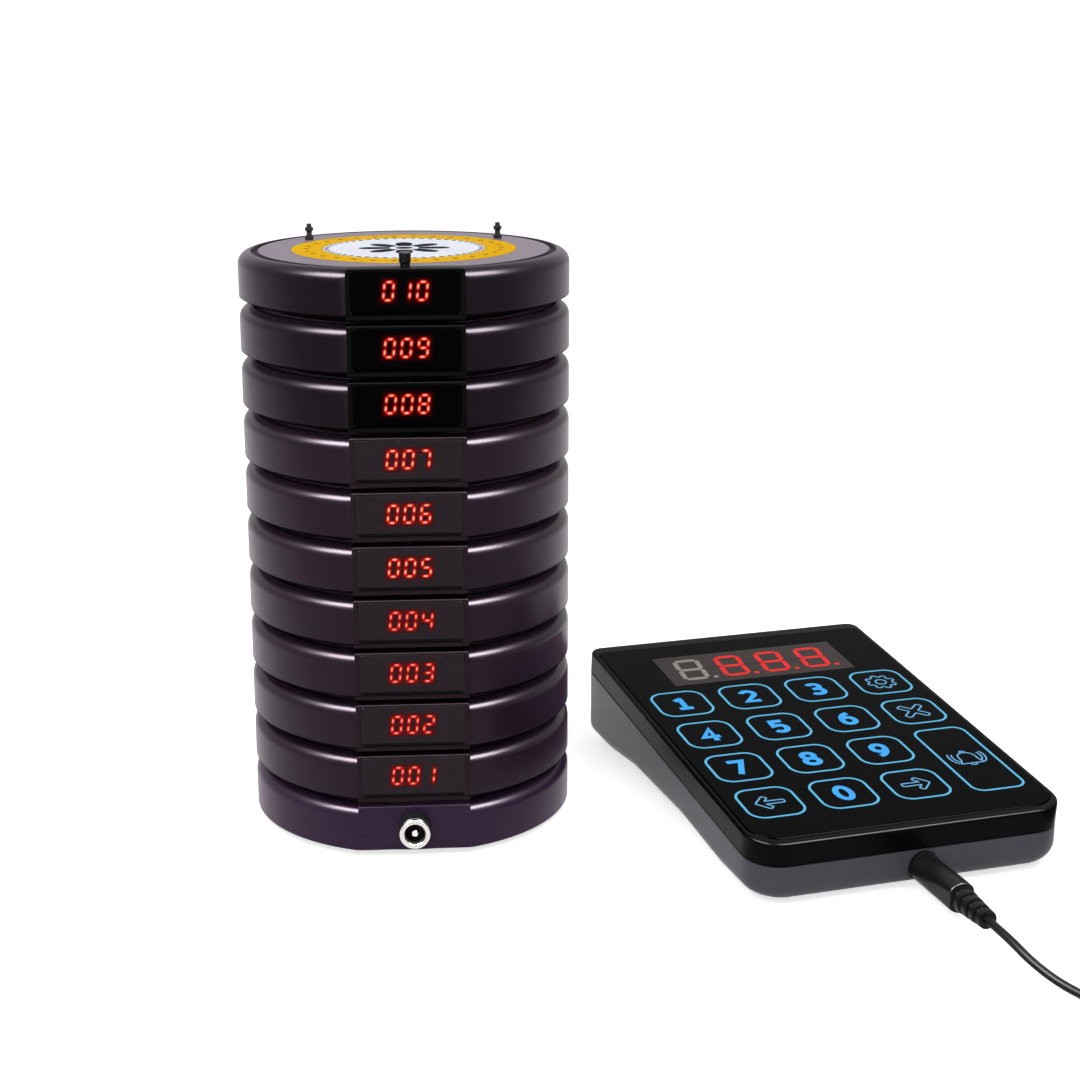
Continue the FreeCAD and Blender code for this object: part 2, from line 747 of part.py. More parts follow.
def power_plug():
    """Moulded plug with two grip flats and a ribbed strain relief, along the jack's axis."""
    face = case_near + case_wall
    back = case_near - plug_length
    plug = level(plug_radius, keypad_jack_x, keypad_jack_height, back, face)
    for side in (-1, 1):
        x = keypad_jack_x + side * (plug_flat + tall / 2)
        plug = plug.cut(box(x - tall / 2, x + tall / 2, back - beyond, back + plug_flat_length, -tall, tall))
    relief = Part.makeCone(
        relief_radius, relief_tip_radius, relief_length,
        vec(keypad_jack_x, back, keypad_jack_height), vec(0, -1, 0),
    )
    plug = plug.fuse(relief)
    rib_length = relief_length / (2 * relief_ribs + 1)
    for rib in range(relief_ribs):
        near_end = back - (2 * rib + 1) * rib_length
        share = (2 * rib + 1.5) * rib_length / relief_length
        radius = relief_radius + (relief_tip_radius - relief_radius) * share + relief_rib_rise
        plug = plug.fuse(level(radius, keypad_jack_x, keypad_jack_height, near_end - rib_length, near_end))
    return plug.removeSplitter()


def plug_contact():
    """Metal barrel of the plug, inside the jack."""
    face = case_near + case_wall
    end = face + barrel_length
    barrel = level(barrel_radius, keypad_jack_x, keypad_jack_height, face, end)
    return barrel.cut(level(barrel_bore_radius, keypad_jack_x, keypad_jack_height, face - beyond, end + beyond))


def cord_tube(name, points):
    """Tube along straight runs joined by tangent arcs, each as large as its runs allow."""
    edges = []
    radii = []
    last = points[0]
    for before, corner, after in zip(points, points[1:], points[2:]):
        into = corner - before
        out = after - corner
        shorter = min(into.Length, out.Length)
        into.normalize()
        out.normalize()
        half_turn = into.getAngle(out) / 2
        reach = 0.45 * shorter
        radius = reach / math.tan(half_turn)
        start = corner - into * reach
        end = corner + out * reach
        inward = out - into
        inward.normalize()
        middle = corner + inward * (radius / math.cos(half_turn) - radius)
        edges.append(Part.makeLine(last, start))
        edges.append(Part.Arc(start, middle, end).toShape())
        radii.append(round(radius, 1))
        last = end
    edges.append(Part.makeLine(last, points[-1]))
    path = Part.Wire(edges)
    heading = points[1] - points[0]
    section = Part.Wire(Part.makeCircle(cord_radius, points[0], heading))
    tube = path.makePipeShell([section], True, False)
    ideal = math.pi * cord_radius ** 2 * path.Length
    print(name, "length", round(path.Length, 1), "radii", radii, "volume ratio", round(tube.Volume / ideal, 4))
    return tube


def plug_cord_exit():
    """Point where the cord leaves the plug's strain relief, and the direction it leaves in."""
    return vec(cord_start_x, coil_y + coil_nearer, keypad_jack_height), vec(turn_sine, -turn_cosine, 0)


def coil_side():
    """Outer radius of the coil, and the centre line of a cord that runs along its side."""
    outer = coil_mean_radius + coil_turns_across * cord_diameter / 2
    return outer, outer + cord_radius + fit_gap


def power_cord():
    """The two stretches of cord that aren't coiled: plug to coil, and coil to adapter."""
    start, heading = plug_cord_exit()
    beside = coil_side()[1]
    drop = cord_rest - keypad_jack_height
    landing = start + heading * (3 * lead_straight) + vec(lead_turn, 0, drop)
    beside_coil = vec(coil_x, coil_y - beside, cord_rest)
    swing = vec(0, -lead_swing, 0)
    lead_in = [
        start,
        start + heading * lead_straight,
        start + heading * (2 * lead_straight) + vec(0.3 * lead_turn, 0, 0.55 * drop),
        landing,
        landing * 0.7 + beside_coil * 0.3 + swing,
        landing * 0.35 + beside_coil * 0.65 + swing,
        beside_coil,
    ]
    adapter_end = adapter_y - adapter_relief_length
    tail = [
        vec(coil_x + beside, coil_y, 3 * cord_rest),
        vec(coil_x + beside + 0.6, coil_y + 10, 2.4 * cord_rest),
        vec(coil_x + beside - 0.4, coil_y + 21, 2.8 * cord_rest),
        vec(adapter_x, adapter_end - 11, adapter_cord_height),
        vec(adapter_x, adapter_end, adapter_cord_height),
    ]
    return [cord_tube("plug to coil", lead_in), cord_tube("coil to adapter", tail)]


def power_cord_coil():
    """Outer shape of the wound cord: a low ring with rounded edges."""
    outer = coil_side()[0]
    inner = 2 * coil_mean_radius - outer
    height = coil_layers * cord_diameter
    ring = upright(outer, coil_x, coil_y, 0, height)
    ring = ring.cut(upright(inner, coil_x, coil_y, -beyond, height + beyond))
    rims = [edge for edge in ring.Edges if edge.Curve.TypeId == "Part::GeomCircle"]
    return ring.makeFillet(cord_radius, rims)


def mains_adapter():
    """Adapter lying flat, with the cord's tapered strain relief at its near end."""
    body = box(
        adapter_x - adapter_width / 2, adapter_x + adapter_width / 2,
        adapter_y, adapter_y + adapter_length, 0, adapter_height,
    )
    body = body.makeFillet(adapter_round, body.Edges)
    relief = Part.makeCone(
        adapter_relief_radius, adapter_relief_tip, adapter_relief_length + bite,
        vec(adapter_x, adapter_y + bite, adapter_cord_height), vec(0, -1, 0),
    )
    return body.fuse(relief).removeSplitter()


def adapter_pins():
    """Two flat mains blades."""
    far = adapter_y + adapter_length
    middle = adapter_height / 2
    return [
        box(
            adapter_x + side * blade_spacing / 2 - blade_thickness / 2,
            adapter_x + side * blade_spacing / 2 + blade_thickness / 2,
            far, far + blade_length, middle - blade_width / 2, middle + blade_width / 2,
        )
        for side in (-1, 1)
    ]


def build_pagers():
    pieces = {
        "upper_shell": [pager_upper_shell()],
        "lower_shell": [pager_lower_shell()],
        "display": pager_display(),
        "electronics": pager_electronics(),
    }
    for number in range(1, pager_count + 1):
        seat = vec(0, 0, base_height + (number - 1) * pager_pitch)
        for piece, solids in pieces.items():
            save("pager_%02d_%s" % (number, piece), *[solid.translated(seat) for solid in solids])


def build_base():
    save("base_upper_shell", base_upper_shell())
    save("base_lower_shell", base_lower_shell())
    save("base_circuit", *base_circuit())
    save("base_jack", *base_jack())
    save("base_foot_ring", base_foot_ring())
    save("base_screws", *[screw(x, y, foot_height, base_screw_length) for x, y in boss_places()])


def build_keypad():
    save("keypad_top_frame", placed(keypad_top_frame()))
    save("keypad_glass", placed(keypad_glass()))
    save("keypad_display", placed(keypad_display()))
    save("keypad_board", placed(keypad_board()))
    save("keypad_lower_case", placed(keypad_lower_case()))
    save("keypad_jack", *[placed(solid) for solid in keypad_jack()])
    save("keypad_feet", *[placed(solid) for solid in keypad_feet()])
    save("keypad_screws", *[placed(solid) for solid in keypad_screws()])


def build_lead():
    save("power_plug", placed(power_plug()))
    save("plug_contact", placed(plug_contact()))
    save("power_cord", *power_cord())
    save("power_cord_coil", power_cord_coil())
    save("mains_adapter", mains_adapter())
    save("adapter_pins", *adapter_pins())


os.makedirs("parts", exist_ok=True)
build_pagers()
build_base()
build_keypad()
build_lead()
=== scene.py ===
"""Looks of a guest pager system: ten coaster pagers on a charging base, and a keypad with its power lead.

Lengths inside the classes are millimetres in the shared frame: +Z up along the stack, -Y the way
the flat fronts with the displays face. They become metres where a mesh is made.
"""

import json
import logging
import math
from dataclasses import dataclass, field
from enum import Enum
from typing import Callable, Optional, Sequence

import bmesh
import bpy
import numpy as np
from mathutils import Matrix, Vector

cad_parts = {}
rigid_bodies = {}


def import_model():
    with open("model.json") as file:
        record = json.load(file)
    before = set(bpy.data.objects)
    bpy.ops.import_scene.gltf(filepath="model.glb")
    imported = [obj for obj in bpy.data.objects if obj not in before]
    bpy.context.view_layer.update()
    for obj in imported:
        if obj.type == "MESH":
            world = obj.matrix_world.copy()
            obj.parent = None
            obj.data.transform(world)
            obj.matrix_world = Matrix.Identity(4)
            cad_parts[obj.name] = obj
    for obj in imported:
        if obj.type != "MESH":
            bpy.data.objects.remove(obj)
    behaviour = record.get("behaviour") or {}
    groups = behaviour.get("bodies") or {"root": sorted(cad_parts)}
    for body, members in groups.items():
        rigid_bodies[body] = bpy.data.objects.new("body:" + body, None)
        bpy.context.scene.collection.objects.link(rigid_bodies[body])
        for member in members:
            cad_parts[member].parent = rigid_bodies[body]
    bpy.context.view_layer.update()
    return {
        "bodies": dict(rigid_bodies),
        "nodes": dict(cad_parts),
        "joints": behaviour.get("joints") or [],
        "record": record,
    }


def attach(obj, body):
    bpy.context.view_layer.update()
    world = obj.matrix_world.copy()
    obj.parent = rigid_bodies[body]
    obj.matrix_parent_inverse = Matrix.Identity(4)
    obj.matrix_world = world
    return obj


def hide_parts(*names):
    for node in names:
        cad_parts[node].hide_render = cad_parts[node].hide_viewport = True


logging.basicConfig(level=logging.INFO, format="%(message)s")
log = logging.getLogger("pager_system")

Array = np.ndarray
MM = 0.001
SHARP = math.radians(40.0)
FLAT_FRONT = 49.4
INK_HEIGHT = 0.04
Place = Callable[[Array], Array]
Rgb = tuple[int, int, int]
Lines = list[tuple[Array, bool]]


# ---- Shapes as arrays ----

def circle(count: int) -> Array:
    """Evenly spread angles, once round."""
    return np.linspace(0.0, 2 * np.pi, count, endpoint=False)


def quarter(count: int) -> Array:
    """Evenly spread angles from 0 to a quarter turn, both ends among them."""
    return np.linspace(0.0, np.pi / 2, count)


def arc(x: float, y: float, wide: float, tall: float, start: float, end: float, steps: int = 20) -> Array:
    """Part of an ellipse from one angle to another, in degrees anticlockwise from the right."""
    t = np.radians(np.linspace(start, end, steps + 1))
    return np.c_[x + wide * np.cos(t), y + tall * np.sin(t)]


def soften(corners: Sequence[Sequence[float]], closed: bool = False, steps: int = 4) -> Array:
    """Rounds the corners of a flat path.

    A corner (x, y, cut) becomes a short curve from a, `cut` before it, to b, `cut` after it:
    q(t) = (1-t)^2 a + 2t(1-t) corner + t^2 b. One more point stands just outside each end of the
    curve, `guard` cuts from the corner, so that the flat runs stay flat in shading.

    Args:
        corners: (x, y, cut) rows.
        closed: whether the path returns to its first corner.
        steps: pieces in each rounded corner.

    Returns:
        (n, 2) points.
    """
    guard = 1.35
    table = np.asarray(corners, float)
    spots, cuts = table[:, :2], table[:, 2]
    runs = []
    t = np.linspace(0.0, 1.0, steps + 1)[:, None]
    for index, (here, cut) in enumerate(zip(spots, cuts)):
        at_end = not closed and index in (0, len(spots) - 1)
        if cut <= 0 or at_end:
            runs.append(here[None])
            continue
        back = spots[index - 1] - here
        ahead = spots[(index + 1) % len(spots)] - here
        back, ahead = back / np.linalg.norm(back), ahead / np.linalg.norm(ahead)
        a, b = here + back * cut, here + ahead * cut
        curve = (1 - t) ** 2 * a + 2 * t * (1 - t) * here + t ** 2 * b
        runs.append(np.vstack([here + back * cut * guard, curve, here + ahead * cut * guard]))
    return np.vstack(runs)


def rounded_outline(x0: float, x1: float, y0: float, y1: float, radii: Sequence[float],
                    steps: int = 8) -> Array:
    """Outline of a rectangle with round corners, each a quarter circle about its own centre.

    Args:
        x0, x1, y0, y1: sides of the rectangle.
        radii: radius at the corners (x1, y1), (x0, y1), (x0, y0) and (x1, y0).
        steps: pieces in each quarter circle.

    Returns:
        (4 * (steps + 1), 2) points, anticlockwise.
    """
    radius = np.repeat(np.asarray(radii, float), steps + 1)
    side_x = np.repeat([1.0, -1.0, -1.0, 1.0], steps + 1)
    side_y = np.repeat([1.0, 1.0, -1.0, -1.0], steps + 1)
    angle = (np.arange(4)[:, None] * np.pi / 2 + quarter(steps + 1)).ravel()
    corner_x = np.where(side_x > 0, x1, x0) - side_x * radius
    corner_y = np.where(side_y > 0, y1, y0) - side_y * radius
    return np.c_[corner_x + radius * np.cos(angle), corner_y + radius * np.sin(angle)]


def filled_outline(outline: Array, steps: int, extra: int) -> Array:
    """Adds evenly spaced points to the straight sides between an outline's four round corners.

    Args:
        outline: what rounded_outline gives for the same steps.
        steps: pieces in each rounded corner.
        extra: points added on each side.

    Returns:
        (4 * (steps + 1 + extra), 2) points.
    """
    corners = outline.reshape(4, steps + 1, 2)
    share = (np.arange(1, extra + 1) / (extra + 1))[:, None]
    ends, starts = corners[:, -1:], np.roll(corners, -1, axis=0)[:, :1]
    sides = ends * (1 - share) + starts * share
    return np.concatenate([corners, sides], axis=1).reshape(-1, 2)


def inset_outline(half_x: float, half_y: float, radius: float, inset: float, steps: int = 8) -> Array:
    """Outline of a round-cornered rectangle about the origin, moved inwards by a distance."""
    x, y, left = half_x - inset, half_y - inset, max(radius - inset, 0.0)
    return rounded_outline(-x, x, -y, y, (left,) * 4, steps)


def lathe(profile: Array, angles: Array, front: Optional[Array] = None) -> Array:
    """Carries a (radius, height) profile round the vertical axis.

    x = radius * sin(angle) and y = -radius * cos(angle). What would stand in front of the flat
    front is pressed back onto it: y = max(y, -front).

    Args:
        profile: (rows, 2) points.
        angles: (columns,) angles from the front, in radians.
        front: distance of the flat from the axis for each row of the profile.

    Returns:
        (rows, columns, 3) points.
    """
    radius, height = profile[:, :1], profile[:, 1:]
    x = radius * np.sin(angles)
    y = -radius * np.cos(angles)
    if front is not None:
        y = np.maximum(y, -np.asarray(front)[:, None])
    return np.stack([x, y, np.broadcast_to(height, x.shape)], axis=-1)


def turned_forward(profile: Array, count: int) -> Array:
    """Carries a profile round an axis that points to the front, -Y.

    Args:
        profile: (rows, 2) points, distance from the axis and distance to the front.
        count: points round the axis.

    Returns:
        (rows, count, 3) points.
    """
    radius, ahead = profile[:, :1], profile[:, 1:]
    x, z = radius * np.cos(circle(count)), radius * np.sin(circle(count))
    return np.stack([x, np.broadcast_to(-ahead, x.shape), z], axis=-1)


def strip(path: Array, width: float, thickness: float, closed: bool) -> Array:
    """Carries a flat rectangular section along a path in a plane.

    At each point the section stands across the mean direction of the two runs that meet there,
    widened by 1 / cos(half the bend) so that the strip keeps its width. The cosine is held to 0.6.

    Args:
        path: (n, 2) points.
        width: width of the strip.
        thickness: height of the strip above the plane.
        closed: whether the strip returns to its start.

    Returns:
        (4, n, 3) points: the section's corners along the path; an open strip is tapered shut.
    """
    def unit(runs: Array) -> Array:
        return runs / np.maximum(np.linalg.norm(runs, axis=1, keepdims=True), 1e-9)

    if closed:
        before, after = path - np.roll(path, 1, axis=0), np.roll(path, -1, axis=0) - path
    else:
        runs = np.diff(path, axis=0)
        before, after = np.vstack([runs[:1], runs]), np.vstack([runs, runs[-1:]])
    before, after = unit(before), unit(after)
    mean = unit(before + after)
    across = np.c_[-mean[:, 1], mean[:, 0]]
    sharpest = 0.6
    spread = 1.0 / np.maximum(np.abs((mean * before).sum(axis=1, keepdims=True)), sharpest)
    offset = across * spread * width / 2
    left, right = path + offset, path - offset
    low, high = np.zeros((len(path), 1)), np.full((len(path), 1), thickness)
    grid = np.stack([np.c_[left, low], np.c_[left, high], np.c_[right, high], np.c_[right, low]])
    if not closed:
        middle = np.c_[path, low]
        grid = np.concatenate([np.stack([middle[:1]] * 4), grid, np.stack([middle[-1:]] * 4)], axis=1)
    return grid


def turn_about_z(points: Array, degrees: float) -> Array:
    """Turns points about the vertical axis."""
    angle = math.radians(degrees)
    c, s = math.cos(angle), math.sin(angle)
    return points @ np.array([[c, s, 0.0], [-s, c, 0.0], [0.0, 0.0, 1.0]])


@dataclass
class Skin:
    """Surfaces gathered for one piece: points in millimetres, faces, and what varies over them."""

    points: list[Array] = field(default_factory=list)
    faces: list[Array] = field(default_factory=list)
    uvs: list[Array] = field(default_factory=list)
    glow: list[Array] = field(default_factory=list)
    count: int = 0

    def add(self, points: Array, faces: Array, uv: Optional[Array] = None,
            glow: Optional[Array] = None) -> None:
        """Adds points and the faces between them.

        Args:
            points: (n, 3) points.
            faces: (m, 3) or (m, 4) indices into the points.
            uv: (n, 2) coordinates that follow the surface.
            glow: (n,) light that falls on the surface from behind; a negative value marks painted shade.
        """
        self.points.append(points)
        self.faces.append(np.asarray(faces) + self.count)
        self.uvs.append(np.zeros((len(points), 2)) if uv is None else uv)
        self.glow.append(np.zeros(len(points)) if glow is None else glow)
        self.count += len(points)

    def add_grid(self, grid: Array, round_rows: bool = False, round_columns: bool = True,
                 uv: Optional[Array] = None, glow: Optional[Array] = None) -> None:
        """Adds a grid of points, with a four-sided face between each four neighbours.

        Args:
            grid: (rows, columns, 3) points.
            round_rows: whether the last row joins the first.
            round_columns: whether the last column joins the first.
            uv: (rows, columns, 2) coordinates that follow the surface.
            glow: (rows, columns) light from behind.
        """
        rows, columns = grid.shape[:2]
        number = np.arange(rows * columns).reshape(rows, columns)
        if round_rows:
            number = np.vstack([number, number[:1]])
        if round_columns:
            number = np.hstack([number, number[:, :1]])
        quads = np.stack([number[:-1, :-1], number[:-1, 1:], number[1:, 1:], number[1:, :-1]], axis=-1)
        self.add(
            grid.reshape(-1, 3), quads.reshape(-1, 4),
            None if uv is None else uv.reshape(-1, 2), None if glow is None else glow.ravel(),
        )

    def add_drawing(self, lines: Lines, centre: Array, width: float) -> None:
        """Adds a thin strip along each line of a flat drawing.

        Args:
            lines: paths about the drawing's own middle, each with whether it closes.
            centre: where that middle stands.
            width: width of the strips.
        """
        for path, closed in lines:
            grid = strip(path + centre, width, INK_HEIGHT, closed)
            self.add_grid(grid, round_rows=True, round_columns=closed)

    def build(self, name: str, place: Optional[Place] = None) -> bpy.types.Object:
        """Makes the piece's object, its doubles merged and its faces turned outwards.

        Args:
            name: the piece's name.
            place: puts the points where they belong in the shared frame, still in millimetres.

        Returns:
            The object, at the origin, with its place in its mesh.
        """
        points = np.vstack(self.points)
        if place is not None:
            points = place(points)
        mesh = bpy.data.meshes.new(name)
        faces = [face for group in self.faces for face in group.tolist()]
        mesh.from_pydata((points * MM).tolist(), [], faces)
        corner = np.empty(len(mesh.loops), dtype=np.int32)
        mesh.loops.foreach_get("vertex_index", corner)
        layer = mesh.uv_layers.new(name="surface")
        layer.data.foreach_set("uv", np.vstack(self.uvs)[corner].astype(np.float32).ravel())
        light = mesh.attributes.new("glow", "FLOAT", "POINT")
        light.data.foreach_set("value", np.concatenate(self.glow).astype(np.float32))
        work = bmesh.new()
        work.from_mesh(mesh)
        bmesh.ops.remove_doubles(work, verts=work.verts, dist=1e-6)
        bmesh.ops.dissolve_degenerate(work, edges=work.edges, dist=1e-7)
        bmesh.ops.recalc_face_normals(work, faces=work.faces)
        work.to_mesh(mesh)
        work.free()
        mesh.shade_smooth()
        mesh.set_sharp_from_angle(angle=SHARP)
        piece = bpy.data.objects.new(name, mesh)
        bpy.context.scene.collection.objects.link(piece)
        return piece


def skin_of(grid: Array) -> Skin:
    """A skin of one grid whose last column joins the first."""
    skin = Skin()
    skin.add_grid(grid)
    return skin


def cut_out(piece: bpy.types.Object, cutter: bpy.types.Object) -> None:
    """Cuts a closed shape out of a piece and removes the shape.

    Args:
        piece: what is cut; it keeps its name and gets the new mesh.
        cutter: what is taken away.
    """
    boolean = piece.modifiers.new("cut", "BOOLEAN")
    boolean.operation = "DIFFERENCE"
    boolean.solver = "EXACT"
    boolean.use_self = True
    boolean.object = cutter
    made = bpy.data.meshes.new_from_object(piece.evaluated_get(bpy.context.evaluated_depsgraph_get()))
    piece.modifiers.clear()
    old = piece.data
    piece.data = made
    bpy.data.meshes.remove(old)
    made.name = piece.name
    bpy.data.meshes.remove(cutter.data)
    made.shade_smooth()
    made.set_sharp_from_angle(angle=SHARP)


# ---- Materials ----

def linear(red: int, green: int, blue: int) -> tuple[float, float, float, float]:
    """A colour written as 0 to 255 on a screen, as the renderer's linear values."""
    share = np.array([red, green, blue]) / 255.0
    value = np.where(share <= 0.04045, share / 12.92, ((share + 0.055) / 1.055) ** 2.4)
    return (*value.tolist(), 1.0)


def dress(thing: bpy.types.Object, material: bpy.types.Material) -> None:
    """Gives a piece or a carried-over node its material."""
    if not thing.material_slots:
        thing.data.materials.append(material)
        return
    for place in thing.material_slots:
        place.link = "OBJECT"
        place.material = material


class Signal:
    """What comes out of a node, as something to reckon with: each operator adds a Math node."""

    def __init__(self, wiring: "Wiring", socket: bpy.types.NodeSocket) -> None:
        """Keeps the socket and the wiring it belongs to."""
        self.wiring, self.socket = wiring, socket

    def __add__(self, other: object) -> "Signal":
        """Sum."""
        return self.wiring.maths("ADD", self, other)

    def __sub__(self, other: object) -> "Signal":
        """Difference."""
        return self.wiring.maths("SUBTRACT", self, other)

    def __rsub__(self, other: object) -> "Signal":
        """Difference from a plain value."""
        return self.wiring.maths("SUBTRACT", other, self)

    def __mul__(self, other: object) -> "Signal":
        """Product."""
        return self.wiring.maths("MULTIPLY", self, other)

    def __pow__(self, other: object) -> "Signal":
        """Power."""
        return self.wiring.maths("POWER", self, other)

    def __lt__(self, other: object) -> "Signal":
        """1 where this is the smaller one, 0 elsewhere."""
        return self.wiring.maths("LESS_THAN", self, other)

    def __abs__(self) -> "Signal":
        """Value without its sign."""
        return self.wiring.maths("ABSOLUTE", self)


class Wiring:
    """Adds and joins nodes in one tree."""

    def __init__(self, tree: bpy.types.NodeTree) -> None:
        """Keeps the tree that the nodes go into."""
        self.tree = tree

    def add(self, kind: str, sources: Optional[dict] = None, **settings: object) -> dict[object, Signal]:
        """Adds a node.

        Args:
            kind: the node's kind.
            sources: what its inputs get, by name or number.
            settings: its plain settings.

        Returns:
            Its outputs, by name and by number.
        """
        node = self.tree.nodes.new(kind)
        for name, value in settings.items():
            setattr(node, name, value)
        self.feed(node, sources or {})
        return self.outputs(node)

    def outputs(self, node: bpy.types.Node) -> dict[object, Signal]:
        """A node's outputs, by name and by number."""
        signals = [(number, socket.name, Signal(self, socket)) for number, socket in enumerate(node.outputs)]
        return {key: signal for number, name, signal in signals for key in (name, number)}

    def feed(self, node: bpy.types.Node, sources: dict[object, object]) -> None:
        """Feeds a node's inputs, by name or number, with signals or plain values."""
        for key, source in sources.items():
            if isinstance(source, Signal):
                self.tree.links.new(source.socket, node.inputs[key])
            else:
                node.inputs[key].default_value = source

    def maths(self, operation: str, *inputs: object, clamp: bool = False) -> Signal:
        """A Math node on one to three values or signals."""
        return self.add("ShaderNodeMath", dict(enumerate(inputs)), operation=operation, use_clamp=clamp)[0]

    def distance(self, x: Signal, y: Signal) -> Signal:
        """Length of a flat vector, sqrt(x^2 + y^2)."""
        return self.maths("SQRT", x * x + y * y)

    def between(self, value: Signal, low: float, high: float, soft: float) -> Signal:
        """1 where a value lies between two limits, with soft edges."""
        rise, fall = (self.fade(value, limit - soft, limit + soft) for limit in (low, high))
        return self.maths("SUBTRACT", rise, fall, clamp=True)

    def fade(self, value: Signal, low: float, high: float) -> Signal:
        """0 below the lower limit, 1 above the upper one, smooth between."""
        return self.add("ShaderNodeMapRange", {"Value": value, "From Min": low, "From Max": high},
                        interpolation_type="SMOOTHSTEP")[0]

    def span(self, value: Signal, low: object, high: object) -> Signal:
        """Turns a value of 0 to 1 into one between two limits."""
        return self.add("ShaderNodeMapRange", {"Value": value, "To Min": low, "To Max": high})[0]

    def mix(self, share: object, first: object, second: object) -> Signal:
        """Mixes two colours."""
        return self.add("ShaderNodeMix", {0: share, 6: first, 7: second}, data_type="RGBA")[2]

    def noise(self, vector: Signal, scale: object, detail: float = 2.0) -> Signal:
        """Cloudy value of about 0.5 that changes over a distance of 1 / scale metres."""
        return self.add("ShaderNodeTexNoise", {"Vector": vector, "Scale": scale, "Detail": detail})[0]

    def place(self) -> Signal:
        """Object coordinates, which are the shared frame's."""
        return self.add("ShaderNodeTexCoord")["Object"]

    def split(self, vector: Signal) -> tuple[Signal, Signal, Signal]:
        """The three parts of a vector."""
        parts = self.add("ShaderNodeSeparateXYZ", {0: vector})
        return parts[0], parts[1], parts[2]

    def bump(self, height: Signal, strength: float, distance: float) -> Signal:
        """A normal that follows a height."""
        return self.add("ShaderNodeBump", {"Strength": strength, "Distance": distance, "Height": height})[0]

    def group(self, tree: bpy.types.NodeTree, **sources: object) -> dict[object, Signal]:
        """Places a node group, feeds its inputs by name, and gives its outputs."""
        node = self.tree.nodes.new("ShaderNodeGroup")
        node.node_tree = tree
        self.feed(node, sources)
        return self.outputs(node)


def new_group(name: str, inputs: dict[str, tuple[str, object]], outputs: dict[str, str]
              ) -> tuple[Wiring, dict[object, Signal], bpy.types.Node]:
    """Starts a shader node group.

    Args:
        name: the group's name.
        inputs: socket type and value by name.
        outputs: socket type by name.

    Returns:
        The group's wiring, what comes in, and the node that takes what goes out.
    """
    tree = bpy.data.node_groups.new(name, "ShaderNodeTree")
    for label, (kind, value) in inputs.items():
        made = tree.interface.new_socket(name=label, in_out="INPUT", socket_type=kind)
        if value is not None:
            made.default_value = value
    for label, kind in outputs.items():
        tree.interface.new_socket(name=label, in_out="OUTPUT", socket_type=kind)
    wiring = Wiring(tree)
    return wiring, wiring.add("NodeGroupInput"), tree.nodes.new("NodeGroupOutput")


VECTOR, FLOAT, COLOUR = "NodeSocketVector", "NodeSocketFloat", "NodeSocketColor"
BLACK = (0.0, 0.0, 0.0, 1.0)
# Glow value that marks the window's slot, which the window paints black as shade.
SLOT_SHADE_MARK = -1.0


class Effects:
    """The shader node groups that the finishes share, each built once.

    A cloud is given by its patches to the metre and its levels of detail.
    """

    drift = (38.0, 3.0)
    speckle = (900.0, 1.0)
    speckle_share = 0.3
    touched = (30.0, 4.0)
    touched_part = (0.45, 0.75)
    streaks = (420.0, 2.0)
    coarse_share = 0.65
    fine_scale = 2.7

    def __init__(self) -> None:
        """Builds the groups."""
        self.grain = self._grain()
        self.mottle = self._mottle()
        self.smudge = self._smudge()

    def _grain(self) -> bpy.types.NodeTree:
        """Height of a fine moulded grain: two sizes of cloud, the coarser one stronger."""
        wiring, given, end = new_group(
            "Fine grain", {"Vector": (VECTOR, None), "Size": (FLOAT, 0.0004)}, {"Height": FLOAT})
        scale = wiring.maths("DIVIDE", 1.0, given["Size"])
        coarse = wiring.noise(given["Vector"], scale, 3.0)
        fine = wiring.noise(given["Vector"], scale * self.fine_scale, 2.0)
        wiring.feed(end, {"Height": coarse * self.coarse_share + fine * (1.0 - self.coarse_share)})
        return wiring.tree

    def _mottle(self) -> bpy.types.NodeTree:
        """A colour that drifts a little in lightness, with the roughness that goes with it."""
        wiring, given, end = new_group(
            "Soft mottle",
            {"Vector": (VECTOR, None), "Colour": (COLOUR, (0.1, 0.1, 0.1, 1.0)), "Amount": (FLOAT, 0.1),
             "Roughness": (FLOAT, 0.4)},
            {"Colour": COLOUR, "Roughness": FLOAT})
        cloud = wiring.noise(given["Vector"], *self.drift)
        speck = wiring.noise(given["Vector"], *self.speckle)
        middle = (1.0 + self.speckle_share) / 2
        amount = (cloud + speck * self.speckle_share - middle) * given["Amount"]
        tinted = {"Color": given["Colour"], "Value": amount * 2.0 + 1.0}
        colour = wiring.add("ShaderNodeHueSaturation", tinted)[0]
        rough = wiring.maths("ADD", given["Roughness"], amount, clamp=True)
        wiring.feed(end, {"Colour": colour, "Roughness": rough})
        return wiring.tree

    def _smudge(self) -> bpy.types.NodeTree:
        """Roughness of a polished face that hands have touched: faint patches and short streaks."""
        wiring, given, end = new_group(
            "Smudges", {"Vector": (VECTOR, None), "Clean": (FLOAT, 0.05), "Touched": (FLOAT, 0.15)},
            {"Roughness": FLOAT})
        patch = wiring.fade(wiring.noise(given["Vector"], *self.touched), *self.touched_part)
        streak = wiring.noise(given["Vector"], *self.streaks)
        wiring.feed(end, {"Roughness": wiring.span(patch * streak, given["Clean"], given["Touched"])})
        return wiring.tree


def new_material(name: str) -> tuple[bpy.types.Material, Wiring, bpy.types.Node]:
    """Starts a material and returns it with its wiring and its Principled shader."""
    material = bpy.data.materials.new(name)
    material.use_nodes = True
    return material, Wiring(material.node_tree), material.node_tree.nodes["Principled BSDF"]


def shade(colour: Sequence[float], share: float) -> tuple[float, float, float, float]:
    """A linear colour with its light cut to a share."""
    return (*(part * share for part in colour[:3]), 1.0)


PLUM_GLOSS = (255, 236, 253)


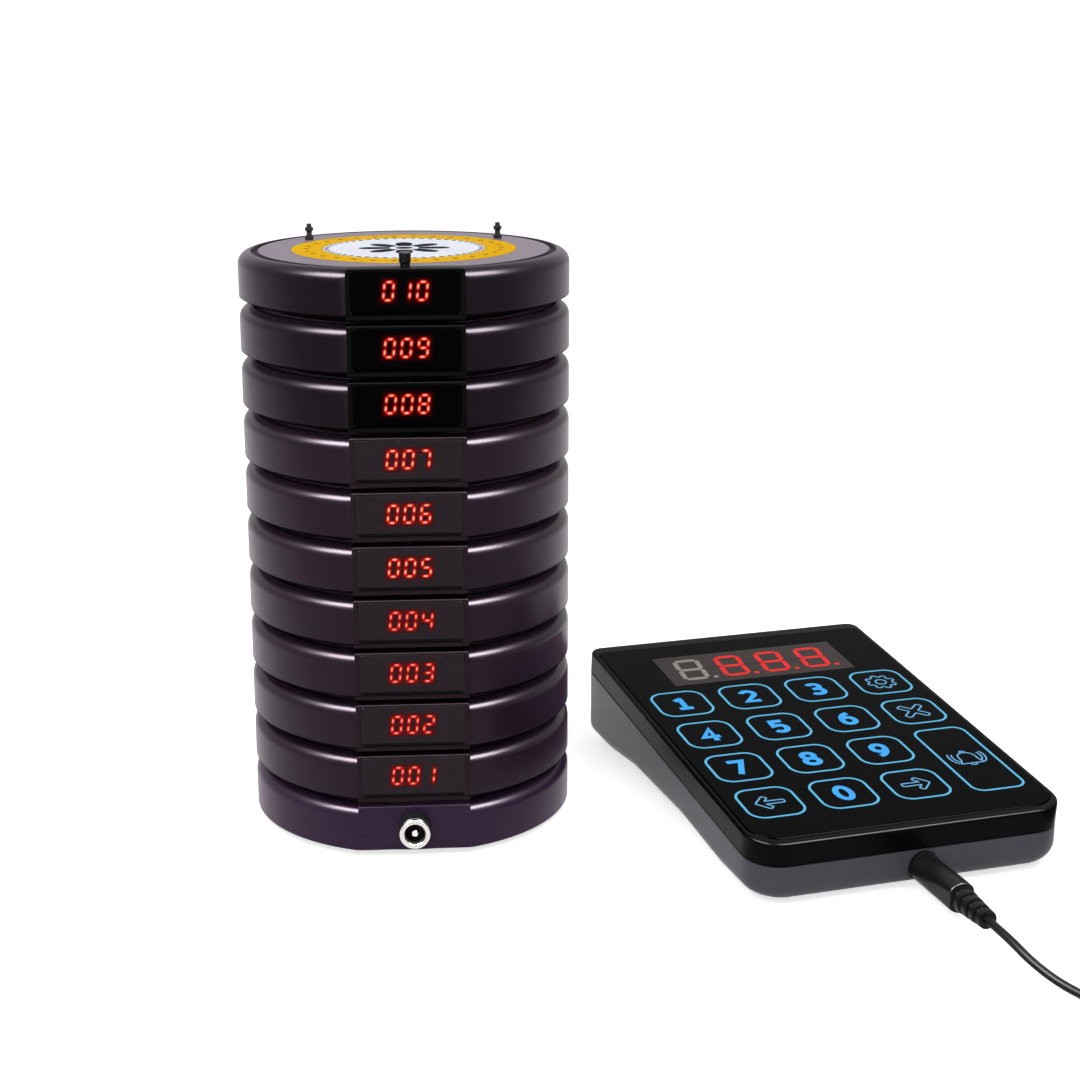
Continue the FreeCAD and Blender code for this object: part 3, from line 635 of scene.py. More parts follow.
@dataclass(frozen=True)
class MouldedPlastic:
    """Satin or matte moulded plastic with a fine grain."""

    name: str
    colour: Rgb
    roughness: float = 0.35
    grain: float = 0.0006
    grain_height: float = 0.00008
    depth: float = 0.12
    mottle: float = 0.06
    specular: float = 0.5
    gloss_tint: Rgb = (255, 255, 255)

    def material(self, effects: Effects) -> bpy.types.Material:
        """The finish as a material."""
        material, wiring, shader = new_material(self.name)
        where = wiring.place()
        cloud = wiring.group(effects.mottle, Vector=where, Colour=linear(*self.colour), Amount=self.mottle,
                             Roughness=self.roughness)
        height = wiring.group(effects.grain, Vector=where, Size=self.grain)["Height"]
        wiring.feed(shader, {
            "Base Color": self.colouring(wiring, cloud["Colour"]),
            "Roughness": self.roughening(wiring, cloud["Roughness"]),
            "Normal": wiring.bump(height, self.depth, self.grain_height),
            "Specular IOR Level": self.specular, "Specular Tint": linear(*self.gloss_tint),
            **self.edge_light(),
        })
        return material

    def colouring(self, wiring: Wiring, plain: Signal) -> Signal:
        """What a kind of plastic makes of the plain colour; here, nothing."""
        return plain

    def roughening(self, wiring: Wiring, plain: Signal) -> Signal:
        """What a kind of plastic makes of the plain roughness; here, nothing."""
        return plain

    def edge_light(self) -> dict[str, object]:
        """The soft light a kind of plastic has at its edges; here, none."""
        return {}


@dataclass(frozen=True)
class ShellPlastic(MouldedPlastic):
    """Moulded plastic of a round shell: groove darkened as painted shade, paler cover, soft light at the
    edges.
    """

    roughness: float = 0.29
    depth: float = 0.012
    specular: float = 0.16
    gloss_tint: Rgb = PLUM_GLOSS
    groove: tuple[float, float] = (46.15, 48.35)
    # Share of the shell's colour kept in the groove: painted shade.
    groove_shade_share: float = 0.5
    groove_roughness: float = 0.4
    cover: Rgb = (98, 89, 101)
    cover_edge: tuple[float, float] = (45.9, 46.1)
    bloom: float = 0.2
    bloom_roughness: float = 0.4
    bloom_tint: Rgb = (222, 172, 226)

    def in_groove(self, wiring: Wiring, radius: Signal) -> Signal:
        """1 where the distance from the stack's axis lies in the groove."""
        return wiring.between(radius, self.groove[0] * MM, self.groove[1] * MM, 0.1 * MM)

    def colouring(self, wiring: Wiring, plain: Signal) -> Signal:
        """The cover's colour inside its edge, and the shell's own, darkened in the groove as painted shade.
        """
        x, y, _ = wiring.split(wiring.place())
        radius = wiring.distance(x, y)
        beyond = wiring.fade(radius, self.cover_edge[0] * MM, self.cover_edge[1] * MM)
        upper = wiring.mix(1.0 - beyond, plain, linear(*self.cover))
        # Painted shade in the groove: the shell's colour cut to a share.
        deep = linear(*(int(part * self.groove_shade_share) for part in self.colour))
        return wiring.mix(self.in_groove(wiring, radius), upper, deep)

    def roughening(self, wiring: Wiring, plain: Signal) -> Signal:
        """Duller in the groove."""
        x, y, _ = wiring.split(wiring.place())
        more = self.in_groove(wiring, wiring.distance(x, y)) * self.groove_roughness
        return wiring.maths("ADD", plain, more, clamp=True)

    def edge_light(self) -> dict[str, object]:
        """Plum-coloured light where the wall turns away."""
        return {"Sheen Weight": self.bloom, "Sheen Roughness": self.bloom_roughness,
                "Sheen Tint": linear(*self.bloom_tint)}


@dataclass(frozen=True)
class FloorPlastic(MouldedPlastic):
    """Moulded plastic of a pager's floor, near black as painted shade in the gap between pagers; its block
    under the display has the housing's colour.
    """

    front: Rgb = (34, 24, 30)
    block_half: float = 17.9
    block_back: float = 43.9

    def colouring(self, wiring: Wiring, plain: Signal) -> Signal:
        """The housing's colour beyond the block's back and within its half width."""
        x, y, _ = wiring.split(wiring.place())
        on_block = (y < -self.block_back * MM) * (abs(x) < self.block_half * MM)
        return wiring.mix(on_block, plain, linear(*self.front))


@dataclass(frozen=True)
class PolishedWindow:
    """Dark polished plastic or glass, printed or smoked from behind, with faint smudges."""

    name: str
    colour: Rgb
    clean: float = 0.06
    touched: float = 0.16
    specular: float = 0.5
    halo: Rgb = (150, 6, 4)
    halo_strength: float = 0.0
    blackens: tuple[float, float] = (0.03, 0.4)
    mottle: float = 0.04

    def material(self, effects: Effects) -> bpy.types.Material:
        """The finish as a material: black where the figures glow through it, and black in its slot as painted
        shade.
        """
        material, wiring, shader = new_material(self.name)
        where = wiring.place()
        cloud = wiring.group(effects.mottle, Vector=where, Colour=linear(*self.colour), Amount=self.mottle)
        rough = wiring.group(effects.smudge, Vector=where, Clean=self.clean, Touched=self.touched)
        tone = cloud["Colour"]
        if self.halo_strength > 0:
            light = wiring.add("ShaderNodeAttribute", attribute_name="glow")["Fac"]
            tone = wiring.mix(wiring.fade(light, *self.blackens), tone, BLACK)
            # Painted shade: the slot along the lower side is black.
            tone = wiring.mix(light < SLOT_SHADE_MARK / 2, tone, BLACK)
            share = wiring.maths("MULTIPLY", light, self.halo_strength, clamp=True)
            halo = wiring.mix(share, BLACK, linear(*self.halo))
            wiring.feed(shader, {"Emission Color": halo, "Emission Strength": 1.0})
        wiring.feed(shader, {"Base Color": tone, "Roughness": rough["Roughness"],
                             "Specular IOR Level": self.specular})
        return material


@dataclass(frozen=True)
class GlowingBar:
    """A lit bar of a numeral: pale at the middle, red towards its edges and ends."""

    name: str
    core: Rgb
    body: Rgb
    rim: Rgb
    core_size: float
    core_part: float = 0.35
    core_soft: float = 0.34
    rim_gap: float = 0.1
    rim_end: float = 1.05
    unlit: Rgb = (60, 6, 4)

    def material(self, effects: Effects) -> bpy.types.Material:
        """The finish as a material.

        The surface map runs across the bar in x and along it in y, and the light falls off with
        sqrt(|x|^2 + |y|^2.4), which reaches further along the bar than across it.
        """
        material, wiring, shader = new_material(self.name)
        x, y, _ = wiring.split(wiring.add("ShaderNodeUVMap", uv_map="surface")[0])
        far = wiring.maths("SQRT", abs(x) ** 2.0 + abs(y) ** 2.4)
        size = self.core_size
        beside_core = wiring.fade(far, size * self.core_part, size + self.core_soft)
        at_rim = wiring.fade(far, size + self.rim_gap, self.rim_end)
        warm = wiring.mix(beside_core, linear(*self.core), linear(*self.body))
        edge = wiring.mix(at_rim, warm, linear(*self.rim))
        wiring.feed(shader, {"Base Color": linear(*self.unlit), "Roughness": 0.3, "Specular IOR Level": 0.08,
                             "Emission Color": edge, "Emission Strength": 1.0})
        return material


@dataclass(frozen=True)
class PrintedInk:
    """Flat printed ink, lit evenly from behind."""

    name: str
    colour: Rgb
    glow: float
    body: float
    glow_variation: float = 0.12
    body_variation: float = 0.1

    def material(self, effects: Effects) -> bpy.types.Material:
        """The finish as a material: its light and its body drift together."""
        material, wiring, shader = new_material(self.name)
        cloud = wiring.noise(wiring.place(), 140.0, 2.0)
        bright = linear(*self.colour)
        faint = shade(bright, self.body)
        wiring.feed(shader, {
            "Base Color": wiring.mix(cloud, shade(faint, 1.0 - self.body_variation), faint),
            "Emission Color": wiring.mix(cloud, shade(bright, 1.0 - self.glow_variation), bright),
            "Emission Strength": self.glow, "Roughness": 0.5, "Specular IOR Level": 0.1,
        })
        return material


@dataclass(frozen=True)
class PlatedMetal:
    """Bright plating with a fine uneven polish."""

    name: str
    colour: Rgb = (214, 211, 205)
    roughness: float = 0.16

    def material(self, effects: Effects) -> bpy.types.Material:
        """The finish as a material."""
        material, wiring, shader = new_material(self.name)
        where = wiring.place()
        cloud = wiring.group(effects.mottle, Vector=where, Colour=linear(*self.colour), Amount=0.08,
                             Roughness=self.roughness)
        height = wiring.group(effects.grain, Vector=where, Size=0.0008)["Height"]
        wiring.feed(shader, {"Base Color": cloud["Colour"], "Roughness": cloud["Roughness"], "Metallic": 1.0,
                             "Normal": wiring.bump(height, 0.05, 0.00005)})
        return material


@dataclass(frozen=True)
class PagerInsides:
    """Board, battery, motor and plated posts of one pager, told apart by where they are."""

    name: str
    post: tuple[float, float] = (30.93, 25.05)
    post_reach: float = 1.9
    battery_half: tuple[float, float] = (17.2, 25.2)
    battery_middle: float = 6.0
    plating: Rgb = (66, 64, 67)
    foil: Rgb = (150, 154, 160)
    board: tuple[Rgb, Rgb] = ((14, 78, 44), (26, 104, 62))

    def material(self, effects: Effects) -> bpy.types.Material:
        """The finish as a material: plating near a post's axis, foil over the battery, green elsewhere."""
        material, wiring, shader = new_material(self.name)
        where = wiring.place()
        x, y, _ = wiring.split(where)
        from_post = wiring.distance(abs(x) - self.post[0] * MM, y - self.post[1] * MM)
        metal = from_post < self.post_reach * MM
        half_x, half_y = self.battery_half
        on_battery = (abs(x) < half_x * MM) * (abs(y - self.battery_middle * MM) < half_y * MM)
        board = wiring.mix(wiring.noise(where, 260.0, 3.0), *(linear(*tone) for tone in self.board))
        inside = wiring.mix(on_battery, board, linear(*self.foil))
        wiring.feed(shader, {
            "Base Color": wiring.mix(metal, inside, linear(*self.plating)), "Metallic": metal,
            "Roughness": wiring.span(metal, 0.5, 0.14),
        })
        return material


@dataclass(frozen=True)
class SpotRing:
    """A ring of small printed spots: round ones for a power of 2, diamonds for a power of 1."""

    count: int
    ring: float
    size: float
    power: float
    soft: float = 0.08

    def mask(self, wiring: Wiring, radius: Signal, angle: Signal) -> Signal:
        """1 on the spots.

        The angle is folded into one step of the ring, u = ring * ((angle * count / 2 pi) wrapped
        to -1/2 .. 1/2) * step, and a spot is where |u|^power + |radius - ring|^power < size^power.

        Args:
            wiring: the material's wiring.
            radius: distance from the axis in millimetres.
            angle: angle about the axis.

        Returns:
            The mask.
        """
        folded = wiring.maths("WRAP", angle * (self.count / (2 * math.pi)), 0.5, -0.5)
        u, v = folded * (2 * math.pi * self.ring / self.count), radius - self.ring
        reach = (abs(u) ** self.power + abs(v) ** self.power) ** (1.0 / self.power)
        return 1.0 - wiring.fade(reach, self.size - self.soft, self.size + self.soft)


@dataclass(frozen=True)
class LabelPrint:
    """Round printed label: gold band with a bead row, white field, and a plain eight-petal rosette."""

    name: str
    gold: Rgb = (236, 182, 20)
    white: Rgb = (238, 240, 250)
    slate: Rgb = (34, 34, 44)
    line: Rgb = (196, 148, 40)
    brown: Rgb = (96, 66, 16)
    band: float = 26.0
    beads: SpotRing = SpotRing(52, 24.6, 0.85, 2.0)
    diamonds: SpotRing = SpotRing(30, 31.0, 1.1, 1.0)
    edging: tuple[float, float] = (-0.35, 0.05)
    petals: int = 8
    petal_reach: float = 14.5
    petal_width: float = 0.45
    petal_foot: float = 4.7
    core: float = 2.7

    def material(self, effects: Effects) -> bpy.types.Material:
        """The finish as a material, drawn from each point's distance and angle about the axis.

        A petal reaches as far as reach * |cos(petals / 2 * angle)|^width, from outside the core.
        """
        material, wiring, shader = new_material(self.name)
        where = wiring.place()
        x, y, _ = wiring.split(where)
        radius = wiring.distance(x, y) * (1.0 / MM)
        angle = wiring.maths("ARCTAN2", y, x)

        def step(value: Signal, at: float, soft: float = 0.1) -> Signal:
            return wiring.fade(value, at - soft, at + soft)

        paper = wiring.mix(step(radius, self.band, 0.08), linear(*self.white), linear(*self.gold))
        edging = wiring.between(radius, *(self.band + gap for gap in self.edging), 0.06)
        paper = wiring.mix(edging, paper, linear(*self.line))
        beads = self.beads.mask(wiring, radius, angle)
        diamonds = self.diamonds.mask(wiring, radius, angle)
        wave = abs(wiring.maths("COSINE", angle * (self.petals / 2)))
        reach = wave ** self.petal_width * self.petal_reach
        petal = step(reach - radius, 0.0) * step(radius, self.petal_foot)
        ink = wiring.maths("ADD", beads, petal + (1.0 - step(radius, self.core)), clamp=True)
        paper = wiring.mix(diamonds * 0.9, paper, linear(*self.brown))
        wiring.feed(shader, {
            "Base Color": wiring.mix(ink, paper, linear(*self.slate)),
            "Roughness": wiring.span(wiring.noise(where, 90.0), 0.56, 0.66),
            "Specular IOR Level": 0.02, "IOR": 1.2,
        })
        return material


@dataclass
class Finishes:
    """Every material of the object, made once and asked for by its finish."""

    effects: Effects = field(default_factory=Effects)
    made: dict[str, bpy.types.Material] = field(default_factory=dict)

    def get(self, finish: object) -> bpy.types.Material:
        """The material of a finish, made on first use."""
        if finish.name not in self.made:
            self.made[finish.name] = finish.material(self.effects)
        return self.made[finish.name]

    def on_nodes(self, frame: dict, looks: dict[str, object]) -> None:
        """Dresses carried-over nodes, each named with its finish."""
        for name, finish in looks.items():
            dress(frame["nodes"][name], self.get(finish))

    def on_piece(self, piece: bpy.types.Object, finish: object, body: str, slot: str,
                 *nodes: str) -> bpy.types.Object:
        """Dresses a made piece and says what it belongs to.

        Args:
            piece: the piece.
            finish: its finish.
            body: the body it rides with.
            slot: its material slot; not used.
            nodes: the carried-over nodes it takes the place of.

        Returns:
            The piece.
        """
        dress(piece, self.get(finish))
        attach(piece, body)
        if nodes:
            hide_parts(*nodes)
        return piece


# ---- Numerals ----

class Bar(Enum):
    """The seven bars of a numeral, as start and end in shares of its width and height."""

    TOP = ((0.0, 1.0), (1.0, 1.0))
    UPPER_RIGHT = ((1.0, 1.0), (1.0, 0.5))
    LOWER_RIGHT = ((1.0, 0.5), (1.0, 0.0))
    BOTTOM = ((0.0, 0.0), (1.0, 0.0))
    LOWER_LEFT = ((0.0, 0.5), (0.0, 0.0))
    UPPER_LEFT = ((0.0, 1.0), (0.0, 0.5))
    MIDDLE = ((0.0, 0.5), (1.0, 0.5))


BARS_OF = {
    "0": (Bar.TOP, Bar.UPPER_RIGHT, Bar.LOWER_RIGHT, Bar.BOTTOM, Bar.LOWER_LEFT, Bar.UPPER_LEFT),
    "1": (Bar.UPPER_RIGHT, Bar.LOWER_RIGHT),
    "2": (Bar.TOP, Bar.UPPER_RIGHT, Bar.MIDDLE, Bar.LOWER_LEFT, Bar.BOTTOM),
    "3": (Bar.TOP, Bar.UPPER_RIGHT, Bar.MIDDLE, Bar.LOWER_RIGHT, Bar.BOTTOM),
    "4": (Bar.UPPER_LEFT, Bar.MIDDLE, Bar.UPPER_RIGHT, Bar.LOWER_RIGHT),
    "5": (Bar.TOP, Bar.UPPER_LEFT, Bar.MIDDLE, Bar.LOWER_RIGHT, Bar.BOTTOM),
    "6": (Bar.TOP, Bar.UPPER_LEFT, Bar.MIDDLE, Bar.LOWER_RIGHT, Bar.BOTTOM, Bar.LOWER_LEFT),
    "7": (Bar.TOP, Bar.UPPER_RIGHT, Bar.LOWER_RIGHT),
    "8": tuple(Bar),
    "9": (Bar.TOP, Bar.UPPER_RIGHT, Bar.MIDDLE, Bar.UPPER_LEFT, Bar.LOWER_RIGHT, Bar.BOTTOM),
}


@dataclass
class Numerals:
    """Row of seven-bar numerals in a plane, x to the right and y up, centred on the origin."""

    height: float
    width: float
    pitch: float
    thickness: float
    gap: float
    lean: float
    rise: float = 0.03

    def bars(self, text: str) -> Array:
        """Centre lines of the lit bars.

        Args:
            text: the figures, left to right.

        Returns:
            (bars, 2, 2) start and end points, before they lean.
        """
        size = np.array([self.width - self.thickness, self.height - self.thickness])
        lines = []
        for place, figure in enumerate(text):
            left = (place - (len(text) - 1) / 2) * self.pitch - size[0] / 2
            ends = np.array([bar.value for bar in BARS_OF[figure]]) * size
            lines.append(ends + [left, -size[1] / 2])
        return np.concatenate(lines)

    def leaning(self, points: Array) -> Array:
        """Leans points to the right: x grows with y times the tangent of the lean."""
        moved = points.copy()
        moved[..., 0] += points[..., 1] * math.tan(math.radians(self.lean))
        return moved

    def add_bars(self, skin: Skin, lines: Array) -> None:
        """Adds a six-cornered bar with pointed ends for each centre line.

        Along the bar, the sections stand at its two tips, half a thickness in from them, and at
        its middle; across it, at -1, 0 and 1 half thicknesses, shut to the middle at the tips.

        Args:
            skin: takes the bars.
            lines: (bars, 2, 2) centre lines.
        """
        half = self.thickness / 2
        across = np.array([-1.0, 0.0, 1.0])
        widths = np.array([0.0, half, half, half, 0.0])
        for start, end in lines:
            run = end - start
            length = np.linalg.norm(run)
            ahead = run / length
            side = np.array([-ahead[1], ahead[0]])
            tip = self.gap / 2
            stations = np.array([tip, tip + half, length / 2, length - tip - half, length - tip])
            flat = start + stations[:, None, None] * ahead + (widths[:, None] * across)[:, :, None] * side
            shape = flat.shape[:2]
            top, base = (np.dstack([self.leaning(flat), np.full(shape, z)]) for z in (self.rise, 0.0))
            along = (stations / length * 2 - 1)[:, None]
            uv = np.dstack([np.broadcast_to(across, shape), np.broadcast_to(along, shape)])
            skin.add_grid(np.concatenate([top, base[:, ::-1]], axis=1),
                          uv=np.concatenate([uv, uv[:, ::-1]], axis=1))

    def halo(self, points: Array, lines: Array, reach: float) -> Array:
        """Light spilt round the bars: the sum of exp(-(distance to a bar / reach)^2).

        Args:
            points: (n, 2) points of the window.
            lines: (bars, 2, 2) centre lines.
            reach: distance over which the light fades.

        Returns:
            (n,) values up to 1.
        """
        start, end = self.leaning(lines[:, 0]), self.leaning(lines[:, 1])
        run = end - start
        offset = points[:, None] - start
        share = np.clip((offset * run).sum(-1) / (run ** 2).sum(-1), 0.0, 1.0)
        distance = np.linalg.norm(offset - share[..., None] * run, axis=-1)
        return np.clip(np.exp(-(distance / reach) ** 2).sum(1), 0.0, 1.0)


# ---- Power lead ----

JACKET = MouldedPlastic("Cord jacket", (15, 15, 17), roughness=0.38, grain=0.0009, depth=0.08, specular=0.12)
PLUG_BLACK = MouldedPlastic("Plug moulding", (14, 13, 17), roughness=0.3, grain=0.0007, depth=0.05,
                            specular=0.16)
ADAPTER_BLACK = MouldedPlastic("Adapter shell", (22, 22, 25), roughness=0.5, depth=0.3, specular=0.2)
PLATING = PlatedMetal("Nickel plating")


@dataclass
class PowerLead:
    """Plug, cord and mains adapter."""

    exit_point: tuple[float, float, float] = (163.95, -122.90, 7.4)
    heading: tuple[float, float, float] = (0.23345, -0.97237, 0.0)
    coil_centre: tuple[float, float] = (221.95, -160.90)
    cord_radius: float = 1.3
    cord_rest: float = 1.35
    coil_entry: float = 23.5
    turns_per_layer: float = 5.0
    cross_over: float = 0.25
    points_per_turn: int = 14
    length: float = 1.2
    plug_radius: float = 4.85
    plug_flat: float = 4.1
    plug_length: float = 24.0
    flats_from: float = 7.0
    relief_length: float = 15.0
    relief_radii: tuple[float, float] = (3.95, 2.9)
    ribs: int = 4
    rib_depth: float = 0.95
    body: str = "power_lead"

    def route(self) -> Array:
        """Control points of the cord, from the plug to the adapter.

        Between the lead-in and the tail, the cord winds inwards on the floor and outwards on top:
        radius = entry - pitch * turns on the way in and pitch * turns more on the way out, with
        the angle growing anticlockwise from the side nearest the front. Between the two layers it
        climbs one pitch over 0.45 of a turn and keeps its radius for the cross-over.

        Returns:
            (n, 3) points in millimetres.
        """
        lead_in = np.array([
            self.exit_point, (166.52, -133.60, 7.4), (171.04, -144.29, 4.07), (178.15, -154.99, 1.35),
            (191.29, -173.01, 1.35), (206.62, -183.31, 1.35),
        ])
        pitch, layer = 2 * self.cord_radius, self.turns_per_layer
        all_turns = 2 * layer + self.cross_over
        turns = np.linspace(0.0, all_turns, int(round(all_turns * self.points_per_turn)) + 1)
        inner = self.coil_entry - pitch * layer
        radius = np.where(turns < layer, self.coil_entry - pitch * turns,
                          inner + pitch * np.maximum(turns - layer - self.cross_over, 0.0))
        climb = np.clip((turns - layer + 0.1) / 0.45, 0.0, 1.0)
        angle = 2 * np.pi * turns - np.pi / 2
        flat = np.c_[np.cos(angle), np.sin(angle)] * radius[:, None] + self.coil_centre
        coil = np.c_[flat, self.cord_rest + pitch * climb]
        tail = np.array([
            (246.05, -150.90, 3.4), (245.05, -139.90, 3.78), (244.95, -125.90, 8.0), (244.95, -114.90, 8.0),
        ])
        return np.vstack([lead_in, coil, tail])

    def cord(self, finishes: Finishes) -> bpy.types.Object:
        """The whole cord as one smooth curve."""
        curve = bpy.data.curves.new("cord", "CURVE")
        curve.dimensions = "3D"
        points = self.route() * MM
        spline = curve.splines.new("NURBS")
        spline.points.add(len(points) - 1)
        spline.points.foreach_set("co", np.c_[points, np.ones(len(points))].ravel())
        spline.order_u = 3
        spline.use_endpoint_u = True
        spline.resolution_u = 6
        curve.resolution_u = 6
        curve.bevel_depth = self.cord_radius * MM
        curve.bevel_resolution = 3
        curve.use_fill_caps = True
        piece = bpy.data.objects.new("cord", curve)
        bpy.context.scene.collection.objects.link(piece)
        return finishes.on_piece(piece, JACKET, self.body, "cord_jacket", "power_cord", "power_cord_coil")

    def plug(self, finishes: Finishes) -> bpy.types.Object:
        """Moulded plug with two widening grip flats and a slotted strain relief.

        The surface is a circle carried along the plug's axis. In the grip, |x| is held to the
        flat's distance, which closes in from the full radius, from a little behind the front. Along
        the relief the radius falls evenly, and dips between the ribs.

        Returns:
            The piece.
        """
        full, end, tip = self.plug_radius, self.plug_length, self.plug_length + self.relief_length
        grip = soften([(0.0, 0.0, 0), (full, 0.0, 0.5), (full, end, 0.7), (3.2, end, 0)])
        middle = np.linspace(grip[4, 1] + 1.0, end - 1.4, 14)
        grip = np.vstack([grip[:8], np.c_[np.full(14, full), middle], grip[8:]])
        grip = grip[np.argsort(grip[:, 1], kind="stable")]
        cycle = self.relief_length / self.ribs
        steps = np.linspace(0.0, self.relief_length, self.ribs * 12 + 1)
        phase = (steps % cycle) / cycle
        rib = np.clip((np.abs(phase - 0.25) - 0.17) / 0.05, 0.0, 1.0)
        thick, thin = self.relief_radii
        radius = thick - (thick - thin) * steps / self.relief_length - (1 - rib) * self.rib_depth
        relief = np.c_[radius, end + 0.02 + steps]
        profile = np.vstack([grip, relief, [[2.0, tip], [1.25, tip + 0.01], [0.0, tip - 0.5]]])
        grid = turned_forward(profile, 48)
        along = profile[:, 1:]
        closing = np.clip((along - self.flats_from) / (end - self.flats_from), 0.0, 1.0)
        on_grip = (closing > 0) & (along <= end + 0.01)
        limit = np.where(on_grip, full - (full - self.plug_flat) * closing * 1.25, np.inf)
        grid[..., 0] = np.clip(grid[..., 0], -limit, limit)
        start = np.array(self.exit_point) - np.array(self.heading) * tip
        turn = math.degrees(math.atan2(self.heading[0], -self.heading[1]))
        piece = skin_of(grid).build("plug", lambda points: turn_about_z(points, turn) + start)
        return finishes.on_piece(piece, PLUG_BLACK, self.body, "plug_moulding", "power_plug")

    def build(self, frame: dict, finishes: Finishes) -> None:
        """Makes the lead's cord and plug and dresses its carried-over nodes."""
        cord = self.cord(finishes)
        plug = self.plug(finishes)
        finishes.on_nodes(frame, {
            "plug_contact": PLATING, "adapter_pins": PLATING, "mains_adapter": ADAPTER_BLACK})
        log.info("power lead: cord, plug, adapter")


# ---- The stack ----

PAGER_PLASTIC = ShellPlastic("Pager shell", (25, 9, 22))
# Darker copy of the pager shell for the top pagers: painted shade.
DEEP_PLASTIC = ShellPlastic("Pager shell, deep", (8, 0, 7), specular=0.12)
BASE_PLASTIC = ShellPlastic("Base shell", (38, 18, 44))
PLATE_PLASTIC = MouldedPlastic("Display housing", (24, 12, 18), roughness=0.36, depth=0.04, specular=0.12,
                               gloss_tint=PLUM_GLOSS)
# Darker copy of the display housing for the top pagers, painted shade; it also colours the hidden locating
# posts.
BLACK_PLATE = MouldedPlastic("Display housing, black", (3, 2, 3), roughness=0.4, depth=0.06, specular=0.03)
# Pager floors, plain and for the top pagers: near black as painted shade in the gap between pagers.
FLOOR_PLASTIC = FloorPlastic("Pager floor", (5, 3, 5), roughness=0.5, depth=0.15, specular=0.025)
BLACK_FLOOR = MouldedPlastic("Pager floor, black", (5, 3, 5), roughness=0.5, depth=0.15, specular=0.025)
UNDER_PLASTIC = MouldedPlastic("Base plate", (30, 27, 32), roughness=0.5, depth=0.3, specular=0.25)
POST_PLASTIC = MouldedPlastic("Locating post", (7, 4, 7), roughness=0.3, depth=0.04, specular=0.12)
RUBBER = MouldedPlastic("Foot rubber", (22, 22, 22), roughness=0.75, grain=0.0007, depth=0.4, specular=0.25)
BOARD_GREEN = MouldedPlastic("Solder mask", (22, 86, 52), roughness=0.4, grain=0.001, depth=0.2, mottle=0.15)
STEEL = PlatedMetal("Screw steel", (170, 172, 176), 0.3)
WINDOW = PolishedWindow("Display window", (33, 24, 30), clean=0.26, touched=0.36, specular=0.1,
                        halo_strength=0.32)
# Darker copy of the display window for the top pagers: painted shade.
BLACK_WINDOW = PolishedWindow("Display window, black", (2, 1, 2), clean=0.3, touched=0.4, specular=0.012,
                              halo_strength=0.14)
LIT = GlowingBar("Lit numeral", core=(255, 212, 176), body=(250, 40, 8), rim=(150, 0, 0), core_size=0.24)
LIT_DEEP = GlowingBar("Lit numeral, deeper", core=(255, 178, 150), body=(236, 8, 6), rim=(140, 0, 4),
                      core_size=0.22)
LABEL = LabelPrint("Label print")
INSIDES = PagerInsides("Pager electronics")
BASE_INSIDES = PagerInsides("Base circuit", battery_half=(0.0, 0.0))
JACK_BLACK = MouldedPlastic("Jack barrel", (12, 12, 13), roughness=0.3, depth=0.08, specular=0.35)
HOLE_BLACK = MouldedPlastic("Jack bore", (6, 6, 6), depth=0.05)


